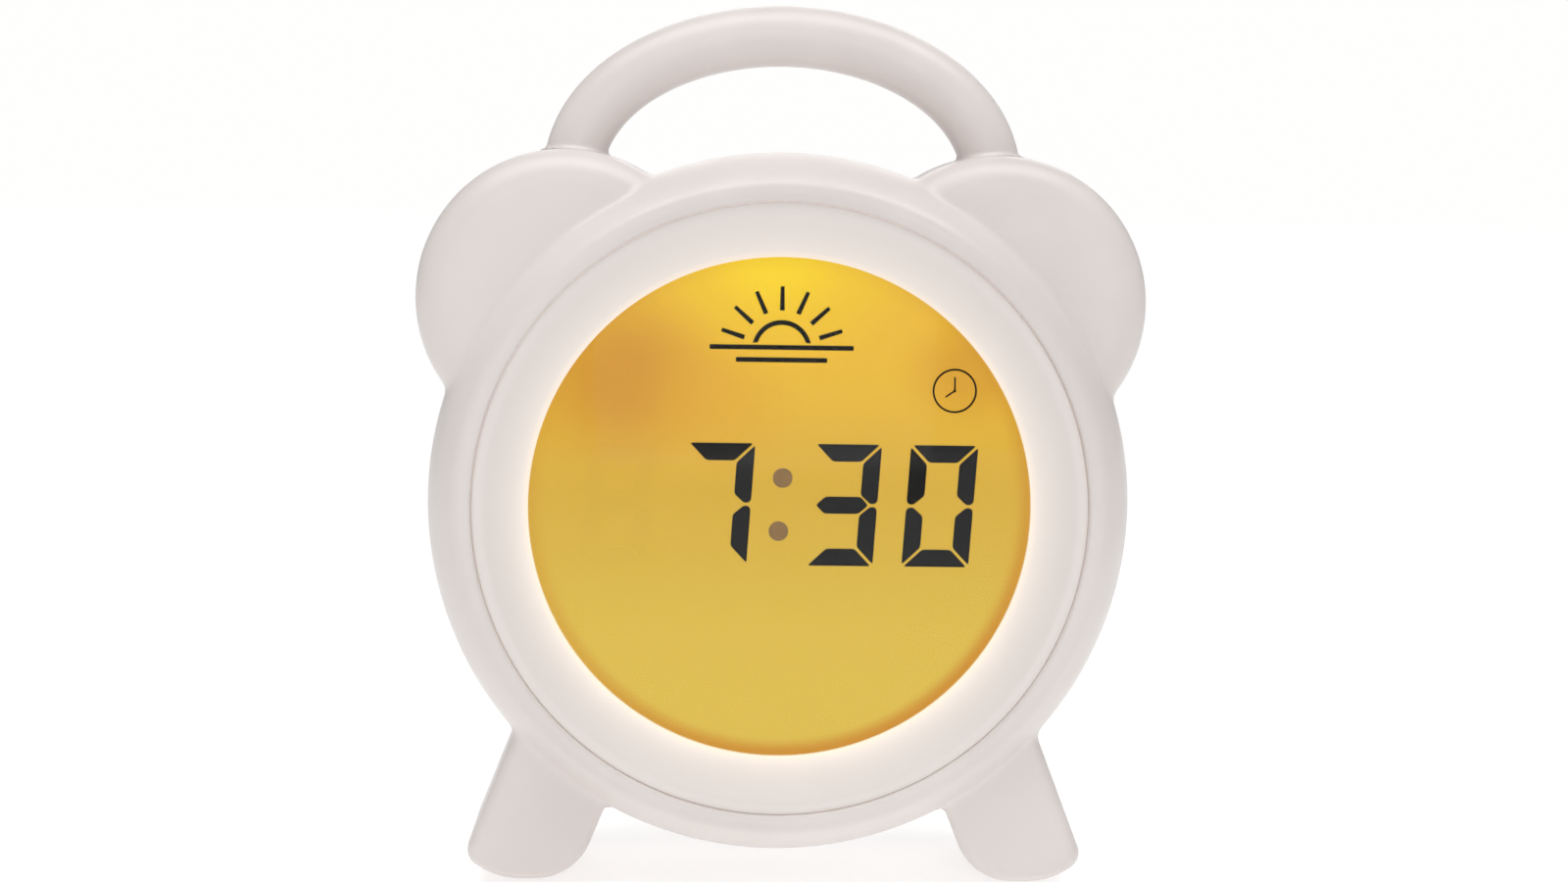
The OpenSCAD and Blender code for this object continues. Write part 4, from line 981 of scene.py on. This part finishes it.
def paper_cone(name):
    """Dark fibrous paper, pressed in rings round the speaker's centre."""
    m = Nodes(name)
    fibre = m.noise(1100, 4, 0.7)
    tone = m.mix(m.span(fibre, 0.3, 0.7), linear(30, 29, 28), linear(52, 50, 47))
    rings = m.math("SINE", m.math("MULTIPLY", m.away(*SPEAKER_AT), 5.2))
    height = m.math("MULTIPLY_ADD", rings, 0.6, fibre)
    return m.principled(
        Base_Color=tone, Roughness=m.span(fibre, 0.3, 0.7, 0.78, 0.92), Normal=m.bump(height, 0.06 * MM))


def guide(name):
    """Light guide: clear amber plastic with rows of moulded dots that send the light forwards."""
    m = Nodes(name)
    spot = m.span(m.cells(450.0), 0.18, 0.3, 1, 0)
    tone = m.mix(spot, linear(246, 196, 84), linear(255, 226, 150))
    return m.principled(
        Base_Color=tone, Roughness=m.gloss(90, 0.2, 0.32), Emission_Color=tone,
        Emission_Strength=m.span(m.height(), -50, 50, 0.25, 0.5), Normal=m.bump(spot, 0.05 * MM))


# One finish for each material slot of the frame; the light board has its own
FINISH = {
    "white_shell": body_white,
    "white_sheet": moulded("white_reflector_sheet", (240, 240, 238), (233, 233, 231), (0.45, 0.6)),
    "chassis_white": moulded("natural_white_plastic", (236, 235, 229), (227, 226, 219), (0.45, 0.58), 0.02),
    "key_grey": moulded("grey_key_plastic", (150, 152, 160), (140, 142, 151), (0.42, 0.54), 0.02, 1.6),
    "switch_black": moulded("black_nylon", (38, 38, 40), (28, 28, 30), (0.5, 0.65), 0.03, 1.5),
    "chip_black": moulded("black_epoxy", (30, 30, 32), (20, 20, 22), (0.55, 0.7), 0.03, 2),
    "plunger_red": moulded("red_plunger_plastic", (205, 62, 50), (190, 52, 42), (0.35, 0.5), 0.02, 2),
    "pad_rubber": moulded("pale_rubber", (208, 203, 200), (196, 191, 188), (0.7, 0.85), 0.05, 1.4),
    "wire_red": moulded("red_wire_sleeve", (190, 28, 26), (170, 22, 20), (0.35, 0.45), 0.02, 2),
    "steel": metal("plated_steel", (205, 206, 208), (176, 178, 182), 0.26, (1, 6, 1)),
    "brass": metal("nickel_brass", (222, 200, 150), (196, 172, 120), 0.22, (1, 6, 1)),
    "magnet_dark": metal("dark_ferrite", (74, 75, 78), (52, 53, 56), 0.5, coarse=900, bump=0.05),
    "circuit_green": circuit("green_solder_mask", (18, 86, 48), (38, 118, 66)),
    "light_board": circuit("white_solder_mask", (236, 236, 230), (222, 222, 214)),
    "capacitor_sleeve": wrapped(
        "dark_capacitor_sleeve", (24, 28, 66), (18, 22, 54), (190, 192, 198), 1, 0.0045),
    "cell_jacket": wrapped("green_cell_jacket", (38, 124, 84), (32, 112, 74), (196, 198, 200), 0, 0.0206),
    "cable_grey": striped("grey_flat_cable", (206, 205, 198), (178, 177, 170), 0, 0.0007),
    "elastomer": striped("zebra_elastomer", (196, 92, 110), (60, 34, 40), 0, 0.0005),
    "cone_paper": paper_cone("black_paper_cone"),
    "light_guide": guide("dotted_amber_guide"),
    "amber_led": lamp_lens("amber_lamp", (255, 214, 110), (240, 160, 40), 1.6),
    "warm_led": lamp_lens("warm_white_lamp", (255, 244, 214), (246, 222, 160), 1.6),
}
for o, body, node in PIECES:
    paint(o, FINISH[SLOT[node]])
for name, o in frame["nodes"].items():
    finish = FINISH.get("light_board" if name == "light_board" else SLOT[name])
    if finish and not o.hide_render:
        for k in range(len(o.data.materials)):
            o.data.materials[k] = finish

# ---------- floor and light ----------

floor_mesh = bpy.data.meshes.new("floor")
floor_mesh.from_pydata([(-6, -4, 0), (6, -4, 0), (6, 8, 0), (-6, 8, 0)], [], [(0, 1, 2, 3)])
floor = bpy.data.objects.new("floor", floor_mesh)
bpy.context.scene.collection.objects.link(floor)
# Seen by the eye the floor fades to white away from the clock; what it throws back on the clock is weaker
FILL, BOUNCE = 0.5, 0.32
FADE = (0.25, 0.8)
m = Nodes("pale_floor")
diffuse = m.node("ShaderNodeBsdfDiffuse", {0: (0.86, 0.86, 0.86, 1)}).outputs[0]
white, fill, dim_fill = (
    m.node("ShaderNodeEmission", {0: (1, 1, 1, 1), 1: strength}).outputs[0] for strength in (1.0, FILL, BOUNCE)
)
under_clock = m.node("ShaderNodeAddShader", {0: diffuse, 1: fill}).outputs[0]
unseen = m.node("ShaderNodeAddShader", {0: diffuse, 1: dim_fill}).outputs[0]
distance = m.node("ShaderNodeVectorMath", {0: m.coords}, operation="LENGTH").outputs["Value"]
seen = m.node("ShaderNodeMixShader", {0: m.span(distance, *FADE), 1: under_clock, 2: white}).outputs[0]
rays = m.node("ShaderNodeLightPath").outputs
eye = m.math("MAXIMUM", rays["Is Camera Ray"], rays["Is Transmission Ray"])
eye = m.math("MAXIMUM", eye, rays["Is Glossy Ray"])
m.tree.links.new(m.node("ShaderNodeMixShader", {0: eye, 1: unseen, 2: seen}).outputs[0], m.out.inputs[0])
floor_mesh.materials.append(m.mat)

# The backdrop is white to the eye and lights the clock less than that
AMBIENT, WHITE = 0.34, 1.0
world = bpy.data.worlds.new("studio")
bpy.context.scene.world = world
world.use_nodes = True
nodes, links = world.node_tree.nodes, world.node_tree.links
backdrop = nodes["Background"]
backdrop.inputs["Color"].default_value = (1, 0.995, 0.99, 1)
rays = nodes.new("ShaderNodeLightPath").outputs
to_eye = nodes.new("ShaderNodeMath")
to_eye.operation = "MAXIMUM"
links.new(rays["Is Camera Ray"], to_eye.inputs[0])
links.new(rays["Is Transmission Ray"], to_eye.inputs[1])
strength = nodes.new("ShaderNodeMapRange")
strength.inputs["To Min"].default_value = AMBIENT
strength.inputs["To Max"].default_value = WHITE
links.new(to_eye.outputs[0], strength.inputs["Value"])
links.new(strength.outputs["Result"], backdrop.inputs["Strength"])


def lamp(name, at, aim, size, watts, colour=(1, 1, 1)):
    """A rectangular lamp, size metres wide and deep, that points at aim."""
    data = bpy.data.lights.new(name, "AREA")
    data.shape, data.size, data.size_y, data.energy, data.color = "RECTANGLE", *size, watts, colour
    o = bpy.data.objects.new(name, data)
    o.location = at
    o.rotation_mode = "QUATERNION"
    o.rotation_quaternion = (Vector(aim) - Vector(at)).to_track_quat("-Z", "Y")
    bpy.context.scene.collection.objects.link(o)


lamp("overhead", (0.0, -0.2, 0.9), (0, 0, 0.08), (1.3, 0.5), 5.8, (1, 0.995, 0.985))
lamp("front", (0.0, -1.5, 0.35), (0, 0, 0.09), (1.1, 0.7), 3.3)
lamp("behind", (0.1, 1.1, 0.7), (0, 0, 0.09), (0.9, 0.7), 2.2)

bpy.context.scene.view_settings.view_transform = "Standard"
